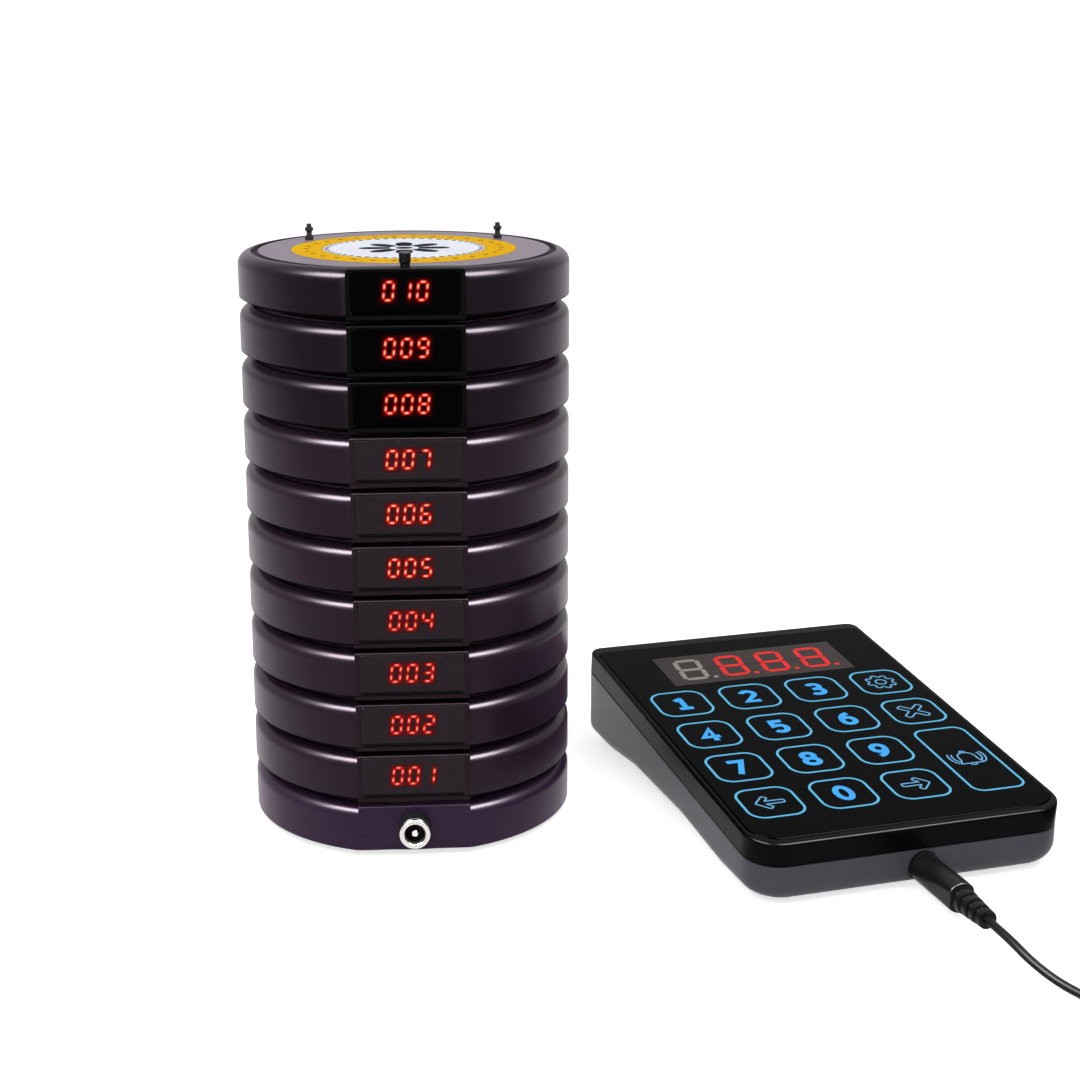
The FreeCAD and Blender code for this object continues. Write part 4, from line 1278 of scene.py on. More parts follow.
@dataclass
class RoundUnit:
    """What a pager's upper shell and the base's upper shell share: all sizes from the parting up."""

    bottom: float
    cover: float
    radius: float = 52.5
    flat: float = FLAT_FRONT
    wall: float = 2.0
    top_wall: float = 2.2
    front_wall: float = 2.6
    shoulder_width: float = 4.2
    shoulder_height: float = 3.7
    groove_width: float = 2.1
    groove_depth: float = 1.5
    plate_half: float = 17.77
    plate_back: float = 44.0
    plate_rise: float = 0.2
    plate_corner: float = 0.8
    plate_edge: float = 0.3
    opening_edge: float = 0.12
    post_place: float = 46.0
    post_height: float = 4.7
    post_radii: tuple[float, float] = (1.5, 1.8)
    sink: float = 0.25
    columns: int = 168

    @property
    def foot(self) -> float:
        """Height at which the shell begins, a hair over the parting."""
        return self.bottom + 0.02

    def angles(self) -> Array:
        """Angles from the front, evenly spread, with one at each end of the flat."""
        edge = math.acos(self.flat / self.radius)
        even = np.linspace(-np.pi, np.pi, self.columns, endpoint=False)
        return np.sort(np.concatenate([even, [edge, -edge]]))

    def add_body(self, skin: Skin) -> None:
        """Adds the round wall, rounded shoulder, groove and cover, and the shell's inside.

        The shoulder is a quarter of an ellipse: radius = inner + width * cos(t) and
        height = wall top + height * sin(t).
        """
        radius, cover, inner = self.radius, self.cover, self.radius - self.shoulder_width
        wall_top, wall_inside = cover - self.shoulder_height, radius - self.wall
        t = quarter(13)[:, None]
        shoulder = np.hstack([inner + self.shoulder_width * np.cos(t),
                              wall_top + self.shoulder_height * np.sin(t)])
        low = soften([(wall_inside, self.foot, 0), (radius, self.foot, 0.3), (radius, wall_top, 0)])
        edge, floor = inner - self.groove_width, cover - self.groove_depth
        top = soften([(inner + 0.3, cover, 0), (inner, cover, 0.22), (inner, floor, 0.25),
                      (edge, floor, 0.25), (edge, cover, 0.22), (edge - 6.0, cover, 0)])
        rings = np.array([[30.0, cover], [14.0, cover], [0.0, cover]])
        outside = np.vstack([low, shoulder[:-1], top, rings])
        ceiling = cover - self.top_wall
        inside = np.array([[0.0, ceiling], [46.0, ceiling], [wall_inside, ceiling - 2.4],
                           [wall_inside, self.foot]])
        front = np.repeat([self.flat - self.sink, self.flat - self.front_wall], [len(outside), len(inside)])
        front[0] = front[-1]
        skin.add_grid(lathe(np.vstack([outside, inside]), self.angles(), front))

    def add_plate(self, skin: Skin, opening: Sequence[float], steps: int = 8) -> None:
        """Adds the raised block behind the flat front, with its opening.

        The surface runs from the block's outline at the back, round its front edge, across the
        face to the opening, and back through the opening: each row is an outline at one depth.

        Args:
            skin: takes the block.
            opening: middle height, half width, half height and corner radius of the opening.
            steps: pieces in each rounded corner.
        """
        low, high = self.foot, self.cover + self.plate_rise
        block = (high + low) / 2, self.plate_half, (high - low) / 2, self.plate_corner

        def outline(sizes: Sequence[float], inset: float, depth: float) -> Array:
            middle, half_x, half_z, corner = sizes
            ring = inset_outline(half_x, half_z, corner, inset, steps)
            return np.c_[ring[:, 0], np.full(len(ring), depth - self.flat), ring[:, 1] + middle]

        edge, lip = self.plate_edge, self.opening_edge
        rows = [outline(block, 0.0, self.flat - self.plate_back), outline(block, 0.0, edge * 1.4)]
        rows += [outline(block, edge * (1 - math.cos(t)), edge * (1 - math.sin(t))) for t in quarter(5)]
        rows += [outline(block, edge * 1.4, 0.0), outline(opening, -lip * 1.5, 0.0)]
        rows += [outline(opening, -lip * (1 - math.sin(t)), lip * (1 - math.cos(t))) for t in quarter(5)]
        rows += [outline(opening, 0.0, self.front_wall)]
        skin.add_grid(np.stack(rows), round_rows=True)

    def add_locating_post(self, skin: Skin) -> None:
        """Adds the moulded post behind the flat: a narrower neck under a round-edged head."""
        neck, head = self.post_radii
        foot, top = self.cover - 0.5, self.cover + self.post_height
        neck_top = self.cover + self.plate_rise + 1.2
        profile = soften([(0.0, foot, 0), (neck, foot, 0), (neck, neck_top, 0.1),
                          (head, neck_top + 0.3, 0.12), (head, top, 0.4), (0.0, top, 0)])
        skin.add_grid(lathe(profile, circle(36)) + [0.0, -self.post_place, 0.0])


@dataclass
class Pager:
    """One coaster pager, numbered from the bottom of the stack."""

    number: int
    pitch: float = 17.0
    first_seat: float = 16.6
    parting: float = 3.2
    window_middle: float = 10.0
    window_half_x: float = 16.4
    window_half_z: float = 6.5
    window_corner: float = 1.2
    lens_gap: float = 0.06
    lens_edge: float = 0.15
    lens_thickness: float = 0.8
    slot_height: float = 0.95
    slot_depth: float = 0.2
    figure_height: float = 10.55
    halo_reach: float = 0.8
    label_radius: float = 35.6
    label_thickness: float = 0.12
    # From this number up, the pagers take the darker copies of their finishes: painted shade.
    shaded_from: int = 8
    deep_to: int = 4
    topmost: int = 10

    @property
    def name(self) -> str:
        """The pager's body and the start of its pieces' names."""
        return f"pager_{self.number:02d}"

    @property
    def seat(self) -> float:
        """Height at which the pager rests on the unit below."""
        return self.first_seat + (self.number - 1) * self.pitch

    @property
    def cover(self) -> float:
        """Height of the pager's cover."""
        return self.seat + self.pitch

    @property
    def black(self) -> bool:
        """Whether the pager is one of the top ones given darker copies of its finishes, as painted shade."""
        return self.number >= self.shaded_from

    def numerals(self) -> Numerals:
        """The display's three figures."""
        return Numerals(height=6.6, width=3.95, pitch=5.0, thickness=1.22, gap=0.06, lean=6.0)

    def on_front(self, depth: float) -> Place:
        """Places a flat drawing on the front, in front of the lens by a depth."""
        height = self.seat + self.figure_height

        def place(points: Array) -> Array:
            return np.c_[points[:, 0], -FLAT_FRONT - depth - points[:, 2], height + points[:, 1]]

        return place

    def shell(self, finishes: Finishes) -> None:
        """Upper shell in three pieces: the round body, the display housing and the locating post."""
        unit = RoundUnit(self.seat + self.parting, self.cover)
        body, plate, post = Skin(), Skin(), Skin()
        unit.add_body(body)
        unit.add_plate(plate, (self.seat + self.window_middle, self.window_half_x, self.window_half_z,
                               self.window_corner))
        unit.add_locating_post(post)
        for skin, name, finish in (
                (body, "_body", DEEP_PLASTIC if self.black else PAGER_PLASTIC),
                (plate, "_housing", BLACK_PLATE if self.black else PLATE_PLASTIC),
                (post, "_locating_post", POST_PLASTIC if self.number == self.topmost else BLACK_PLATE)):
            finishes.on_piece(skin.build(self.name + name), finish, self.name, "pager_shell",
                              self.name + "_upper_shell")

    def lens(self, finishes: Finishes) -> None:
        """Window lens: outlines drawn in towards the middle, each lit by the figures behind it.

        Along its lower side, where the height over that side is less than the slot's, the face
        steps back by the slot's depth, and its points are marked so that the window paints them black as
        shade.
        """
        half_x, half_z = self.window_half_x - self.lens_gap, self.window_half_z - self.lens_gap
        corner, edge, slot = self.window_corner - self.lens_gap, self.lens_edge, self.slot_height
        t = quarter(5)
        insets = np.concatenate([[0.0, 0.0], edge * (1 - np.cos(t)), [edge * 1.5, slot - 0.04, slot + 0.04],
                                 np.arange(1.2, half_z - 0.05, 0.42)])
        depths = np.zeros((len(insets) + 1, 1))
        depths[:2, 0] = self.lens_thickness, edge * 1.5
        depths[2:len(t) + 2, 0] = edge * (1 - np.sin(t))
        rows = np.stack([self._even(inset_outline(half_x, half_z, corner, inset, 6)) for inset in insets])
        spine = np.clip(rows[-1:, :, :1], half_z - half_x, half_x - half_z) * [1.0, 0.0]
        rows = np.concatenate([rows, spine])
        across, up = rows[..., 0], rows[..., 1]
        in_slot = up < slot - half_z
        back = depths + self.slot_depth * in_slot
        grid = np.stack([across, back - FLAT_FRONT, up + self.seat + self.window_middle], axis=-1)
        figures = self.numerals()
        flat = np.c_[across.ravel(), up.ravel() + self.window_middle - self.figure_height]
        glow = figures.halo(flat, figures.bars(f"{self.number:03d}"), self.halo_reach).reshape(up.shape)
        skin = Skin()
        # The slot's points carry the mark that paints them black, as shade.
        skin.add_grid(grid, glow=np.where(in_slot, SLOT_SHADE_MARK, glow))
        rim = grid[0]
        skin.add_grid(np.stack([rim, np.broadcast_to(rim.mean(axis=0), rim.shape)]))
        finishes.on_piece(skin.build(self.name + "_window"), BLACK_WINDOW if self.black else WINDOW,
                          self.name, "display_window", self.name + "_display")

    @staticmethod
    def _even(outline: Array, count: int = 132) -> Array:
        """Spreads an outline's points evenly along its length, by distance from its first point."""
        loop = np.vstack([outline, outline[:1]])
        length = np.concatenate([[0.0], np.cumsum(np.linalg.norm(np.diff(loop, axis=0), axis=1))])
        at = np.linspace(0.0, length[-1], count, endpoint=False)
        return np.c_[np.interp(at, length, loop[:, 0]), np.interp(at, length, loop[:, 1])]

    def figures(self, finishes: Finishes) -> None:
        """The three glowing figures."""
        skin = Skin()
        numerals = self.numerals()
        numerals.add_bars(skin, numerals.bars(f"{self.number:03d}"))
        finishes.on_piece(skin.build(self.name + "_figures", self.on_front(0.01)),
                          LIT if self.number > self.deep_to else LIT_DEEP, self.name, "display_window")

    def label(self, finishes: Finishes) -> None:
        """Printed label on the cover."""
        low, high, edge = self.cover + 0.01, self.cover + self.label_thickness, self.label_radius
        profile = np.array([[0.0, low], [edge, low], [edge, high - 0.03], [edge - 0.04, high],
                            [edge - 1.0, high], [26.0, high], [13.0, high], [0.0, high]])
        skin = skin_of(lathe(profile, np.linspace(-np.pi, np.pi, 144, endpoint=False)))
        finishes.on_piece(skin.build(self.name + "_label"), LABEL, self.name, "pager_shell")

    def build(self, frame: dict, finishes: Finishes) -> None:
        """Makes the pager's pieces and dresses its carried-over nodes."""
        self.shell(finishes)
        self.lens(finishes)
        self.figures(finishes)
        self.label(finishes)
        # The floors' near-black colour is painted shade.
        finishes.on_nodes(frame, {self.name + "_lower_shell": BLACK_FLOOR if self.black else FLOOR_PLASTIC,
                                  self.name + "_electronics": INSIDES})
        log.info("%s: shell, housing, post, window, figures, label", self.name)


@dataclass
class ChargingBase:
    """The base under the stack, with its power jack."""

    bottom: float = 2.0
    cover: float = 16.6
    jack_height: float = 10.0
    jack_radius: float = 5.0
    jack_gap: float = 0.1
    jack_back: float = 46.0
    jack_end: float = 55.2
    bore: float = 3.05
    bore_back: float = 47.5
    rim_radius: float = 4.85
    rim_end: float = 56.4
    pin_radius: float = 1.05
    body: str = "base_and_keypad"

    def jack(self, finishes: Finishes) -> None:
        """Jack in three pieces: black barrel, bright rim with its inner lip, and centre pin.

        Each is a (radius, distance in front of the stack's axis) profile, carried round the jack's
        own axis.
        """
        back, end, bore, bore_back = self.jack_back, self.jack_end, self.bore, self.bore_back
        full, rim, pin = self.jack_radius, self.rim_radius, self.pin_radius
        lip, rim_end = bore + 0.3, self.rim_end
        turned = (
            ("barrel", JACK_BLACK, [(0.0, back, 0), (full, back, 0), (full, end, 0.35), (bore, end, 0),
                                    (bore, bore_back, 0.2), (0.0, bore_back, 0)]),
            ("rim", PLATING, [(lip, end - 0.4, 0), (rim - 0.05, end - 0.4, 0), (rim, end, 0),
                              (rim, rim_end, 0.35), (lip, rim_end, 0.3), (lip, end - 0.4, 0)]),
            ("pin", PLATING, [(0.0, back + 1.0, 0), (pin, back + 1.0, 0), (pin, rim_end - 0.7, 0.45),
                              (0.0, rim_end - 0.6, 0)]),
        )
        for name, finish, corners in turned:
            grid = turned_forward(soften(corners), 64) + [0.0, 0.0, self.jack_height]
            piece = skin_of(grid).build("base_jack_" + name)
            finishes.on_piece(piece, finish, self.body, "jack", "base_jack")

    def build(self, frame: dict, finishes: Finishes) -> None:
        """Makes the base's shell and jack and dresses its carried-over nodes."""
        unit = RoundUnit(self.bottom, self.cover)
        body, plate, post = Skin(), Skin(), Skin()
        unit.add_body(body)
        hole = self.jack_radius + self.jack_gap
        unit.add_plate(plate, (self.jack_height, hole, hole, hole - 0.02), steps=14)
        unit.add_locating_post(post)
        for skin, name in ((body, "base_body"), (plate, "base_front_plate"), (post, "base_locating_post")):
            finishes.on_piece(skin.build(name), BASE_PLASTIC, self.body, "base_shell", "base_upper_shell")
        self.jack(finishes)
        finishes.on_nodes(frame, {"base_lower_shell": UNDER_PLASTIC, "base_circuit": BASE_INSIDES,
                                  "base_foot_ring": RUBBER, "base_screws": STEEL})
        log.info("base: shell, front plate, locating post, jack")


# ---- Keypad transmitter ----

FRAME_GREY = MouldedPlastic("Keypad frame", (5, 5, 7), roughness=0.24, depth=0.04, specular=0.04)
CASE_GREY = MouldedPlastic("Keypad case", (64, 63, 71), roughness=0.34, depth=0.05, specular=0.2)
TOUCH_GLASS = PolishedWindow("Touch glass", (2, 2, 4), clean=0.04, touched=0.1, specular=0.012)
LED_FACE = PolishedWindow("LED module face", (60, 52, 50), clean=0.3, touched=0.4, specular=0.05)
KEY_BLUE = PrintedInk("Key outline ink", (88, 188, 232), glow=0.9, body=0.15)
FIGURE_BLUE = PrintedInk("Key figure ink", (52, 172, 250), glow=0.9, body=0.15)
SIGN_BLUE = PrintedInk("Key sign ink", (102, 174, 222), glow=0.9, body=0.15)
LED_RED = PrintedInk("Lit keypad figure", (236, 16, 16), glow=0.9, body=0.12)
# The unlit figure's faint glow is painted light.
LED_GREY = PrintedInk("Unlit keypad figure", (158, 152, 146), glow=0.2, body=0.8)


class Sign(Enum):
    """Signs drawn on the touch areas."""

    GEAR = "gear"
    CROSS = "cross"
    LEFT = "left"
    RIGHT = "right"
    BELL = "bell"


@dataclass
class Keypad:
    """Glass-topped keypad on its wedge-shaped case."""

    x: float = 134.0
    y: float = -11.0
    turn: float = 13.5
    tilt: float = 5.0
    length: float = 155.0
    half_width: float = 53.0
    near_height: float = 21.0
    key_pitch: float = 25.0
    key_size: float = 18.6
    outline_width: float = 0.8
    glass_half: float = 51.4
    glass_ends: tuple[float, float] = (3.1, 149.9)
    glass_corners: tuple[float, ...] = (2.9, 2.9, 9.4, 9.4)
    glass_under: float = -1.98
    glass_top: float = 0.3
    display_middle: float = 127.0
    case_near: float = -76.803
    case_corners: tuple[float, ...] = (4.5, 4.5, 11.0, 11.0)
    case_foot: float = 1.5
    case_parting: float = 13.01
    case_wall: float = 2.2
    arch_at: tuple[float, ...] = (30.0, 62.0, 47.0, 21.0)
    arch_height: float = 2.7
    inlet: tuple[float, float] = (3.0, 7.4)
    inlet_radius: float = 5.15
    screw_inset: tuple[float, float, float] = (45.5, 17.0, 14.0)
    body: str = "base_and_keypad"

    @property
    def case_far(self) -> float:
        """Where the case ends, in the upright keypad's own plan."""
        return self.case_near + self.length * math.cos(math.radians(self.tilt))

    @property
    def screw_places(self) -> list[tuple[float, float]]:
        """Middles of the four screws, in the upright keypad's own plan."""
        side, near, far = self.screw_inset
        return [(x, y) for x in (-side, side) for y in (self.case_near + near, self.case_far - far)]

    def on_counter(self, points: Array) -> Array:
        """Turns and moves the upright keypad's own plan to its place on the counter."""
        return turn_about_z(points, self.turn) + [self.x, self.y, 0.0]

    def on_panel(self, lift: float = 0.0) -> Place:
        """Places panel points: x across, y from the near edge, z off the glass plane plus a lift.

        The panel leans back by the tilt, stands at its near edge's height, and turns with the keypad.
        """
        angle = math.radians(self.tilt)
        c, s = math.cos(angle), math.sin(angle)

        def place(points: Array) -> Array:
            y, z = points[:, 1], points[:, 2] + lift
            local = np.c_[points[:, 0], y * c - z * s - self.length / 2, y * s + z * c + self.near_height]
            return self.on_counter(local)

        return place

    def key_centre(self, column: float, row: float) -> Array:
        """Middle of a touch area on the panel."""
        return np.array([(column - 1.5) * self.key_pitch, (4.03 - row) * self.key_pitch])

    def glass(self, finishes: Finishes) -> None:
        """Glass with a narrow ground edge: outlines moved in and up round the edge, then to the middle."""
        near, far = self.glass_ends
        under, top, flat = self.glass_under, self.glass_top, 8.0

        def ring(inset: float, z: float) -> Array:
            half = self.glass_half - inset
            radii = [max(part - inset, 0.05) for part in self.glass_corners]
            outline = rounded_outline(-half, half, near + inset, far - inset, radii, 14)
            return np.c_[outline, np.full(len(outline), z)]

        skin = skin_of(np.stack([ring(inset, z) for inset, z in (
            (flat, under), (0.0, under), (0.0, top - 0.45), (0.02, top - 0.32), (0.10, top - 0.14),
            (0.28, top - 0.03), (0.45, top), (0.8, top), (flat, top))]))
        for z in (under, top):
            edge = ring(flat, z)
            spine = np.c_[np.zeros(len(edge)), np.clip(edge[:, 1], 50.0, 100.0), edge[:, 2]]
            skin.add_grid(np.stack([edge, spine]))
        piece = skin.build("keypad_glass_panel", self.on_panel())
        finishes.on_piece(piece, TOUCH_GLASS, self.body, "touch_glass", "keypad_glass")

    def case_skin(self) -> Skin:
        """Hollow wedge under the frame, with the tubes that hold its screws.

        Each row is the plan outline at one step down the wall: first at the parting plane, then
        round the bottom edge, where the outline moves in by width * (1 - cos t) and stands
        at foot + arch + height * (1 - sin t). The arch rises from the near and far feet to the middle.
        """
        near, far, foot = self.case_near, self.case_far, self.case_foot
        slope = math.tan(math.radians(self.tilt))
        first, second, third, last = self.arch_at

        def arch(y: Array) -> Array:
            return np.interp(y - near, [first, second, far - near - third, far - near - last],
                             [0.0, self.arch_height, self.arch_height, 0.0])

        def ring(t: float, wall: float, top: bool = False) -> Array:
            drawn = 1.0 - math.cos(t)
            side, front, back = wall + 7.5 * drawn, wall + 4.6 * drawn, wall + 6.0 * drawn
            radii = [max(part - wall - 5.0 * drawn, 1.6) for part in self.case_corners]
            half = self.half_width - side
            flat = filled_outline(rounded_outline(-half, half, near + front, far - back, radii, 8), 8, 22)
            height = (self.case_parting + (flat[:, 1] - near) * slope if top
                      else foot + wall + arch(flat[:, 1]) + 6.0 * (1.0 - math.sin(t)))
            return np.c_[flat, height]

        def floor_rows(wall: float) -> list[Array]:
            edge = ring(np.pi / 2, wall)
            rows = []
            for share in (0.86, 0.5, 0.0):
                y = np.clip(edge[:, 1], near + 20.0, far - 20.0) * (1 - share) + edge[:, 1] * share
                rows.append(np.c_[edge[:, 0] * share, y, foot + wall + arch(y)])
            return rows

        bend, wall = quarter(9), self.case_wall
        rows = floor_rows(0.0)[::-1] + [ring(t, 0.0) for t in bend[::-1]] + [ring(0.0, 0.0, True)]
        rows += [ring(0.0, wall, True)] + [ring(t, wall) for t in bend] + floor_rows(wall)
        skin = skin_of(np.stack(rows))
        for x, y in self.screw_places:
            base, top = 1.9, self.case_parting - 0.01 + (y - near) * slope - 0.4
            tube = np.array([[2.35, base], [4.2, base], [4.2, top], [1.3, top], [1.3, top - 4.6],
                             [2.35, top - 4.6], [2.35, base]])
            skin.add_grid(lathe(tube, circle(32)) + [x, y, 0.0])
        return skin

    def case(self, finishes: Finishes) -> None:
        """Lower case, bored for the plug and the screws."""
        piece = self.case_skin().build("keypad_case", self.on_counter)
        x, z = self.inlet
        ahead, inside, r = 5.0, -self.case_wall - 0.6, self.inlet_radius
        plug_bore = np.array([[0.0, ahead], [r, ahead], [r, inside], [0.0, inside]])
        bores = skin_of(turned_forward(plug_bore, 48) + [x, self.case_near, z])
        screw_bore = np.array([[0.0, -1.0], [2.33, -1.0], [2.33, 4.6], [0.0, 4.6]])
        for x, y in self.screw_places:
            bores.add_grid(lathe(screw_bore, circle(32)) + [x, y, 0.0])
        cut_out(piece, bores.build("bores", self.on_counter))
        finishes.on_piece(piece, CASE_GREY, self.body, "keypad_case", "keypad_lower_case")

    def key_outlines(self) -> Skin:
        """Round-cornered outlines of all touch areas: fourteen squares, and a tall one at the right."""
        half = np.full(2, self.key_size / 2)
        spots = [(column, row) for row in range(4) for column in range(4) if column < 3 or row < 2]
        areas = [(self.key_centre(*spot) - half, self.key_centre(*spot) + half, 5.0) for spot in spots]
        areas.append((self.key_centre(2.65, 3.39), self.key_centre(3.38, 1.6), 4.0))
        skin = Skin()
        for low, high, radius in areas:
            outline = rounded_outline(low[0], high[0], low[1], high[1], (radius,) * 4, 10)
            skin.add_drawing([(outline, True)], np.zeros(2), self.outline_width)
        return skin

    @staticmethod
    def figure_paths(figure: str) -> Lines:
        """Centre lines of one bold figure about its own middle, each with whether it closes.

        Bowls are parts of ellipses; the 9 is the 6 turned half round.
        """
        six = [(arc(2.1, -1.4, 4.3, 5.2, 96, 180, 14), False),
               (arc(0.0, -1.5, 2.25, 2.4, 180, 526, 28), False)]
        paths = {
            "0": [(arc(0.0, 0.0, 2.35, 3.95, 0, 354, 59), True)],
            "1": [(soften([(-2.0, 2.2, 0), (0.25, 3.6, 0.2), (0.25, -4.0, 0)]), False),
                  (np.array([[-2.3, -3.9], [2.7, -3.9]]), False)],
            "2": [(np.vstack([arc(-0.1, 1.75, 2.3, 2.2, 158, -38), [[-2.3, -3.9], [2.7, -3.9]]]), False)],
            "3": [(arc(-0.2, 2.0, 2.2, 1.95, 145, -90), False), (arc(-0.2, -1.85, 2.5, 2.1, 90, -145), False),
                  (np.array([[-1.2, 0.1], [0.1, 0.1]]), False)],
            "4": [(np.array([[1.0, -4.9], [1.0, 3.6], [-2.7, -1.9], [3.1, -1.9]]), False)],
            "5": [(np.vstack([[[2.3, 3.9], [-1.6, 3.9], [-1.8, 0.5]],
                              arc(-0.1, -1.5, 2.4, 2.4, 118, -146)]), False)],
            "6": six,
            "7": [(np.array([[-2.7, 3.9], [2.3, 3.9], [-1.0, -4.9]]), False)],
            "8": [(arc(0.0, 1.95, 2.0, 1.95, 0, 348, 29), True),
                  (arc(0.0, -1.9, 2.4, 2.05, 0, 348, 29), True)],
            "9": [(-path, closed) for path, closed in six],
        }
        return paths[figure]

    def key_figures(self) -> Skin:
        """Bold figures 1 to 9 and 0."""
        skin = Skin()
        spots = {str(n + 1): (n % 3, n // 3) for n in range(9)} | {"0": (1, 3)}
        for figure, spot in spots.items():
            lines = [(path * [0.98, 1.0], closed) for path, closed in self.figure_paths(figure)]
            skin.add_drawing(lines, self.key_centre(*spot), 2.0)
        return skin

    @staticmethod
    def sign_paths(sign: Sign) -> Lines:
        """Lines of one sign about its own middle, each with whether it closes.

        The gear's outline is radius(t) = 4.7 + 0.6 * tanh(2.2 * sin(8 t)); the bell's side lines are
        arcs about its middle.
        """
        if sign is Sign.GEAR:
            t, hub = circle(128), circle(32)
            teeth = (4.7 + 0.6 * np.tanh(2.2 * np.sin(8 * t)))[:, None] * np.c_[np.cos(t), np.sin(t)]
            return [(teeth, True), (1.9 * np.c_[np.cos(hub), np.sin(hub)], True)]
        if sign is Sign.CROSS:
            a, b, cut, c = 1.15, 5.6, 0.8, math.sqrt(0.5)
            arms = [(b, -a, cut), (b, a, cut), (a, a, 0.3), (a, b, cut), (-a, b, cut), (-a, a, 0.3),
                    (-b, a, cut), (-b, -a, cut), (-a, -a, 0.3), (-a, -b, cut), (a, -b, cut), (a, -a, 0.3)]
            return [(soften(arms, True) @ np.array([[c, c], [-c, c]]), True)]
        if sign in (Sign.LEFT, Sign.RIGHT):
            shape = [(5.0, 0.0, 0.5), (1.3, 4.2, 0.8), (-0.1, 2.9, 0.6), (1.6, 0.95, 0.2), (-4.8, 0.95, 0.8),
                     (-4.8, -0.95, 0.8), (1.6, -0.95, 0.2), (-0.1, -2.9, 0.6), (1.3, -4.2, 0.8)]
            return [(soften(shape, True) * [1.0 if sign is Sign.RIGHT else -1.0, 1.0], True)]
        shell = [(-4.2, -3.6, 0.4), (4.2, -3.6, 0.4), (3.1, -1.6, 1.0), (2.9, 2.6, 1.6), (0.0, 4.6, 2.2),
                 (-2.9, 2.6, 1.6), (-3.1, -1.6, 1.0)]
        bow = np.linspace(np.pi * 1.12, np.pi * 1.88, 10)
        knob = np.linspace(-0.2, np.pi + 0.2, 8)
        ring = np.linspace(-0.75, 0.45, 10)
        waves = [(np.c_[side * reach * np.cos(ring), reach * np.sin(ring) + 1.0], False)
                 for reach in (5.0, 6.3) for side in (-1.0, 1.0)]
        return [(soften(shell, True), True), (np.c_[1.3 * np.cos(bow), -3.6 + 1.2 * np.sin(bow)], False),
                (np.c_[0.9 * np.cos(knob), 4.2 + 0.9 * np.sin(knob)], False)] + waves

    def key_signs(self) -> Skin:
        """Gear, cross, arrows and bell."""
        skin = Skin()
        places = {Sign.GEAR: (3, 0), Sign.CROSS: (3, 1), Sign.LEFT: (0, 3), Sign.RIGHT: (2, 3),
                  Sign.BELL: (3.015, 2.5)}
        for sign, spot in places.items():
            skin.add_drawing(self.sign_paths(sign), self.key_centre(*spot), 0.55)
        return skin

    def display(self, finishes: Finishes) -> None:
        """Module face behind the glass, one unlit figure and three lit ones, each with its point."""
        middle = [0.0, self.display_middle, 0.0]
        rows = [np.c_[inset_outline(34.3, 12.1, 0.6, inset, 3), np.full(16, z)]
                for inset, z in ((1.0, 0.0), (0.0, 0.0), (0.0, 0.01), (0.6, 0.015), (12.0, 0.015))]
        face = skin_of(np.stack(rows) + middle)
        finishes.on_piece(face.build("keypad_display_face", self.on_panel(self.glass_top + 0.005)), LED_FACE,
                          self.body, "led_module")
        row = Numerals(height=17.2, width=10.0, pitch=15.6, thickness=1.75, gap=0.35, lean=4.0)
        lines = row.bars("8888")
        bars = len(BARS_OF["8"])
        on_face = self.on_panel(self.glass_top + 0.03)
        for name, part, finish, places in (("keypad_figure_unlit", lines[:bars], LED_GREY, (0,)),
                                           ("keypad_figures_lit", lines[bars:], LED_RED, (1, 2, 3))):
            skin = Skin()
            row.add_bars(skin, part)
            for place in places:
                self._add_point(skin, (place - 1.5) * row.pitch + row.width / 2 + 1.5, 0.9 - row.height / 2)
            piece = skin.build(name, lambda points: on_face(points + middle + [-0.6, 0.0, 0.0]))
            finishes.on_piece(piece, finish, self.body, "led_module")

    @staticmethod
    def _add_point(skin: Skin, x: float, y: float, radius: float = 0.95) -> None:
        """Adds a figure's round point: circles from its foot to its middle."""
        profile = np.array([[0.02, 0.0], [radius, 0.0], [radius, 0.03], [0.02, 0.03]])
        skin.add_grid(lathe(profile, circle(20)) + [x, y, 0.0])

    def build(self, frame: dict, finishes: Finishes) -> None:
        """Makes the keypad's case, glass and legends and dresses its carried-over nodes."""
        self.case(finishes)
        self.glass(finishes)
        on_glass = self.on_panel(self.glass_top + 0.005)
        for skin, name, ink in ((self.key_outlines(), "keypad_key_outlines", KEY_BLUE),
                                (self.key_figures(), "keypad_key_figures", FIGURE_BLUE),
                                (self.key_signs(), "keypad_key_signs", SIGN_BLUE)):
            finishes.on_piece(skin.build(name, on_glass), ink, self.body, "touch_glass")
        self.display(finishes)
        finishes.on_nodes(frame, {
            "keypad_top_frame": FRAME_GREY, "keypad_display": LED_FACE, "keypad_board": BOARD_GREEN,
            "keypad_jack": HOLE_BLACK, "keypad_feet": RUBBER, "keypad_screws": STEEL})
        log.info("keypad: case, glass, legends, display")


# ---- Studio ----

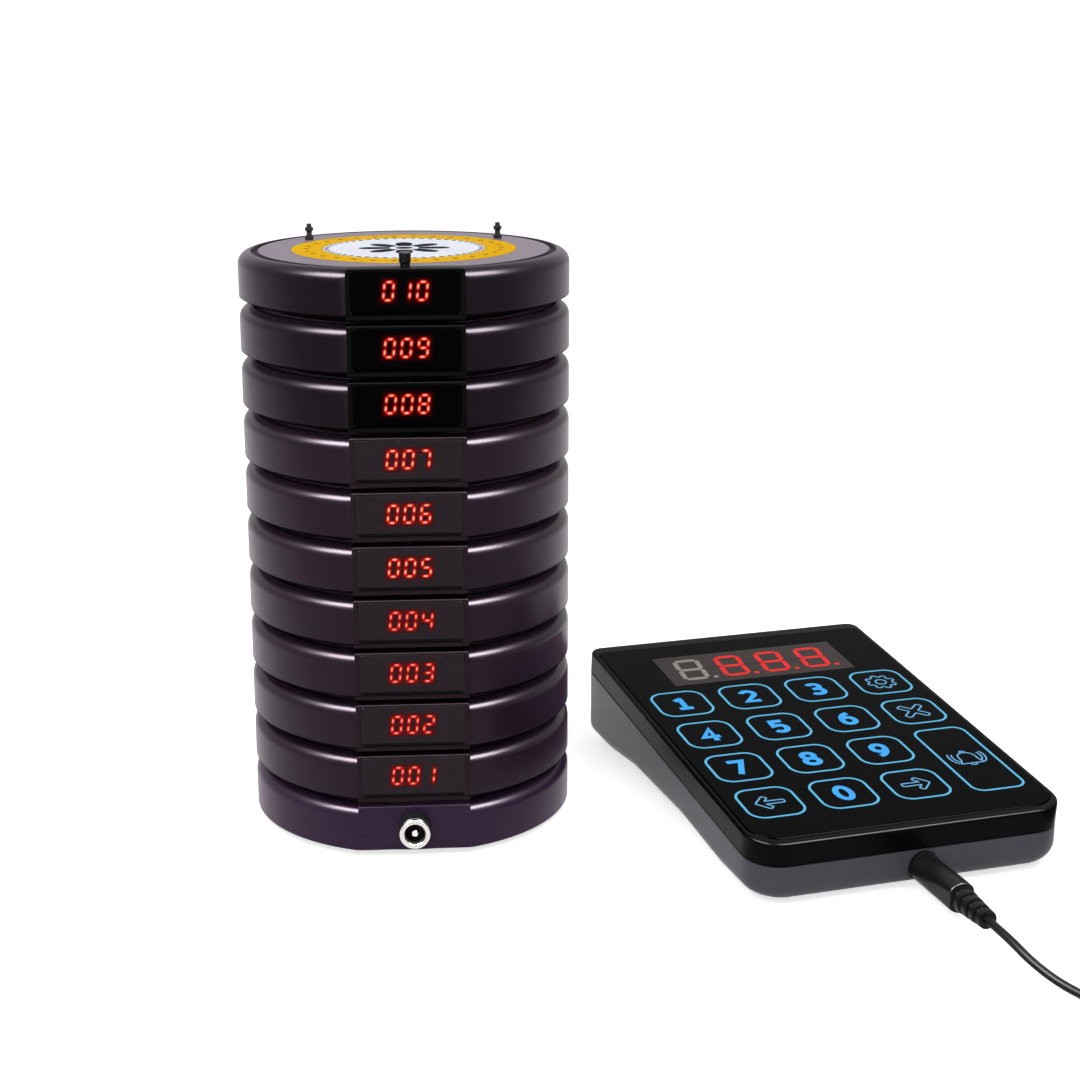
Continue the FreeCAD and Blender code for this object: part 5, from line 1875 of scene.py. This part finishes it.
@dataclass
class Studio:
    """Camera, floor and lights."""

    camera_place: tuple[float, float, float] = (-0.0022, -0.6500, 0.2676)
    camera_yaw: float = 4.0
    camera_pitch: float = 15.27
    lens: float = 67.91
    world_strength: float = 0.5
    gloss_share: float = 0.6
    floor_size: float = 6.0
    floor_glow: float = 0.68
    floor_brightens: tuple[float, float] = (-0.35, 0.15)
    lamp_target: tuple[float, float, float] = (0.04, 0.0, 0.09)
    lamp_place: tuple[float, float, float] = (0.5, -0.42, 0.85)
    strip_place: tuple[float, float, float] = (0.54, -0.42, 0.98)
    fill_place: tuple[float, float, float] = (-0.35, -0.95, 0.25)
    fill_target: tuple[float, float, float] = (0.08, -0.05, 0.03)
    lamp_power: float = 2.9
    strip_power: float = 108.0
    fill_power: float = 1.6

    def camera(self) -> None:
        """Camera level across, turned right by its yaw and down by its pitch."""
        data = bpy.data.cameras.new("camera")
        data.lens = self.lens
        data.sensor_width = 36.0
        data.clip_start = 0.01
        camera = bpy.data.objects.new("camera", data)
        camera.location = self.camera_place
        camera.rotation_euler = (math.radians(90.0 - self.camera_pitch), 0.0, math.radians(-self.camera_yaw))
        bpy.context.scene.collection.objects.link(camera)
        bpy.context.scene.camera = camera

    @staticmethod
    def seen(wiring: Wiring, gloss_share: object) -> Signal:
        """1 for rays from the camera and through glass, and a share of it for reflections."""
        path = wiring.add("ShaderNodeLightPath")
        others = path["Is Glossy Ray"] * gloss_share + path["Is Transmission Ray"]
        return wiring.maths("ADD", path["Is Camera Ray"], others, clamp=True)

    def floor(self) -> None:
        """Pale floor that meets the white background, and keeps the object's shadow."""
        half = self.floor_size / 2
        skin = Skin()
        corners = [[(x, y, 0.0) for x in (-half, half)] for y in (-half, half)]
        skin.add_grid(np.array(corners) / MM, round_columns=False)
        floor = skin.build("floor")
        material, wiring, shader = new_material("Floor")
        _, y, _ = wiring.split(wiring.place())
        seen = self.seen(wiring, wiring.fade(y, *self.floor_brightens))
        wiring.feed(shader, {
            "Base Color": (0.86, 0.86, 0.87, 1.0), "Roughness": 0.9, "Specular IOR Level": 0.0,
            "Emission Color": (1.0, 1.0, 1.0, 1.0), "Emission Strength": seen * self.floor_glow,
        })
        dress(floor, material)

    def world(self) -> None:
        """Even soft light, seen as white."""
        world = bpy.data.worlds.new("studio")
        bpy.context.scene.world = world
        world.use_nodes = True
        wiring = Wiring(world.node_tree)
        strength = self.seen(wiring, self.gloss_share) * (1.0 - self.world_strength) + self.world_strength
        background = world.node_tree.nodes["Background"]
        wiring.feed(background, {"Color": (1.0, 1.0, 1.0, 1.0), "Strength": strength})

    @staticmethod
    def lamp(name: str, place: Sequence[float], target: Sequence[float], size: Sequence[float], power: float,
             only_gloss: bool = False) -> None:
        """A soft rectangular lamp that faces a target, or a strip that shows in reflections alone."""
        data = bpy.data.lights.new(name, "AREA")
        data.shape = "RECTANGLE"
        data.size, data.size_y = size
        data.energy = power
        lamp = bpy.data.objects.new(name, data)
        lamp.location = place
        lamp.rotation_mode = "QUATERNION"
        lamp.rotation_quaternion = (Vector(target) - Vector(place)).to_track_quat("-Z", "Y")
        lamp.visible_diffuse = not only_gloss
        bpy.context.scene.collection.objects.link(lamp)

    def build(self) -> None:
        """Sets up the studio."""
        bpy.context.scene.view_settings.view_transform = "Standard"
        self.floor()
        self.world()
        for side, name in ((-1.0, "left"), (1.0, "right")):
            lamp_place, strip_place = ((side * x, y, z) for x, y, z in (self.lamp_place, self.strip_place))
            self.lamp(name + " lamp", lamp_place, self.lamp_target, (0.8, 0.06), self.lamp_power)
            self.lamp(name + " strip", strip_place, self.lamp_target, (0.8, 0.52), self.strip_power, True)
        self.lamp("front fill", self.fill_place, self.fill_target, (0.3, 0.3), self.fill_power)
        log.info("studio: floor, world, lamps")


def clear_scene() -> None:
    """Removes what Blender starts with."""
    for thing in list(bpy.data.objects):
        bpy.data.objects.remove(thing)


def main() -> None:
    """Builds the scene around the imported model."""
    clear_scene()
    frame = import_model()
    studio = Studio()
    studio.camera()
    finishes = Finishes()
    PowerLead().build(frame, finishes)
    ChargingBase().build(frame, finishes)
    for number in range(1, 11):
        Pager(number).build(frame, finishes)
    Keypad().build(frame, finishes)
    studio.build()


if __name__ == "__main__":
    main()
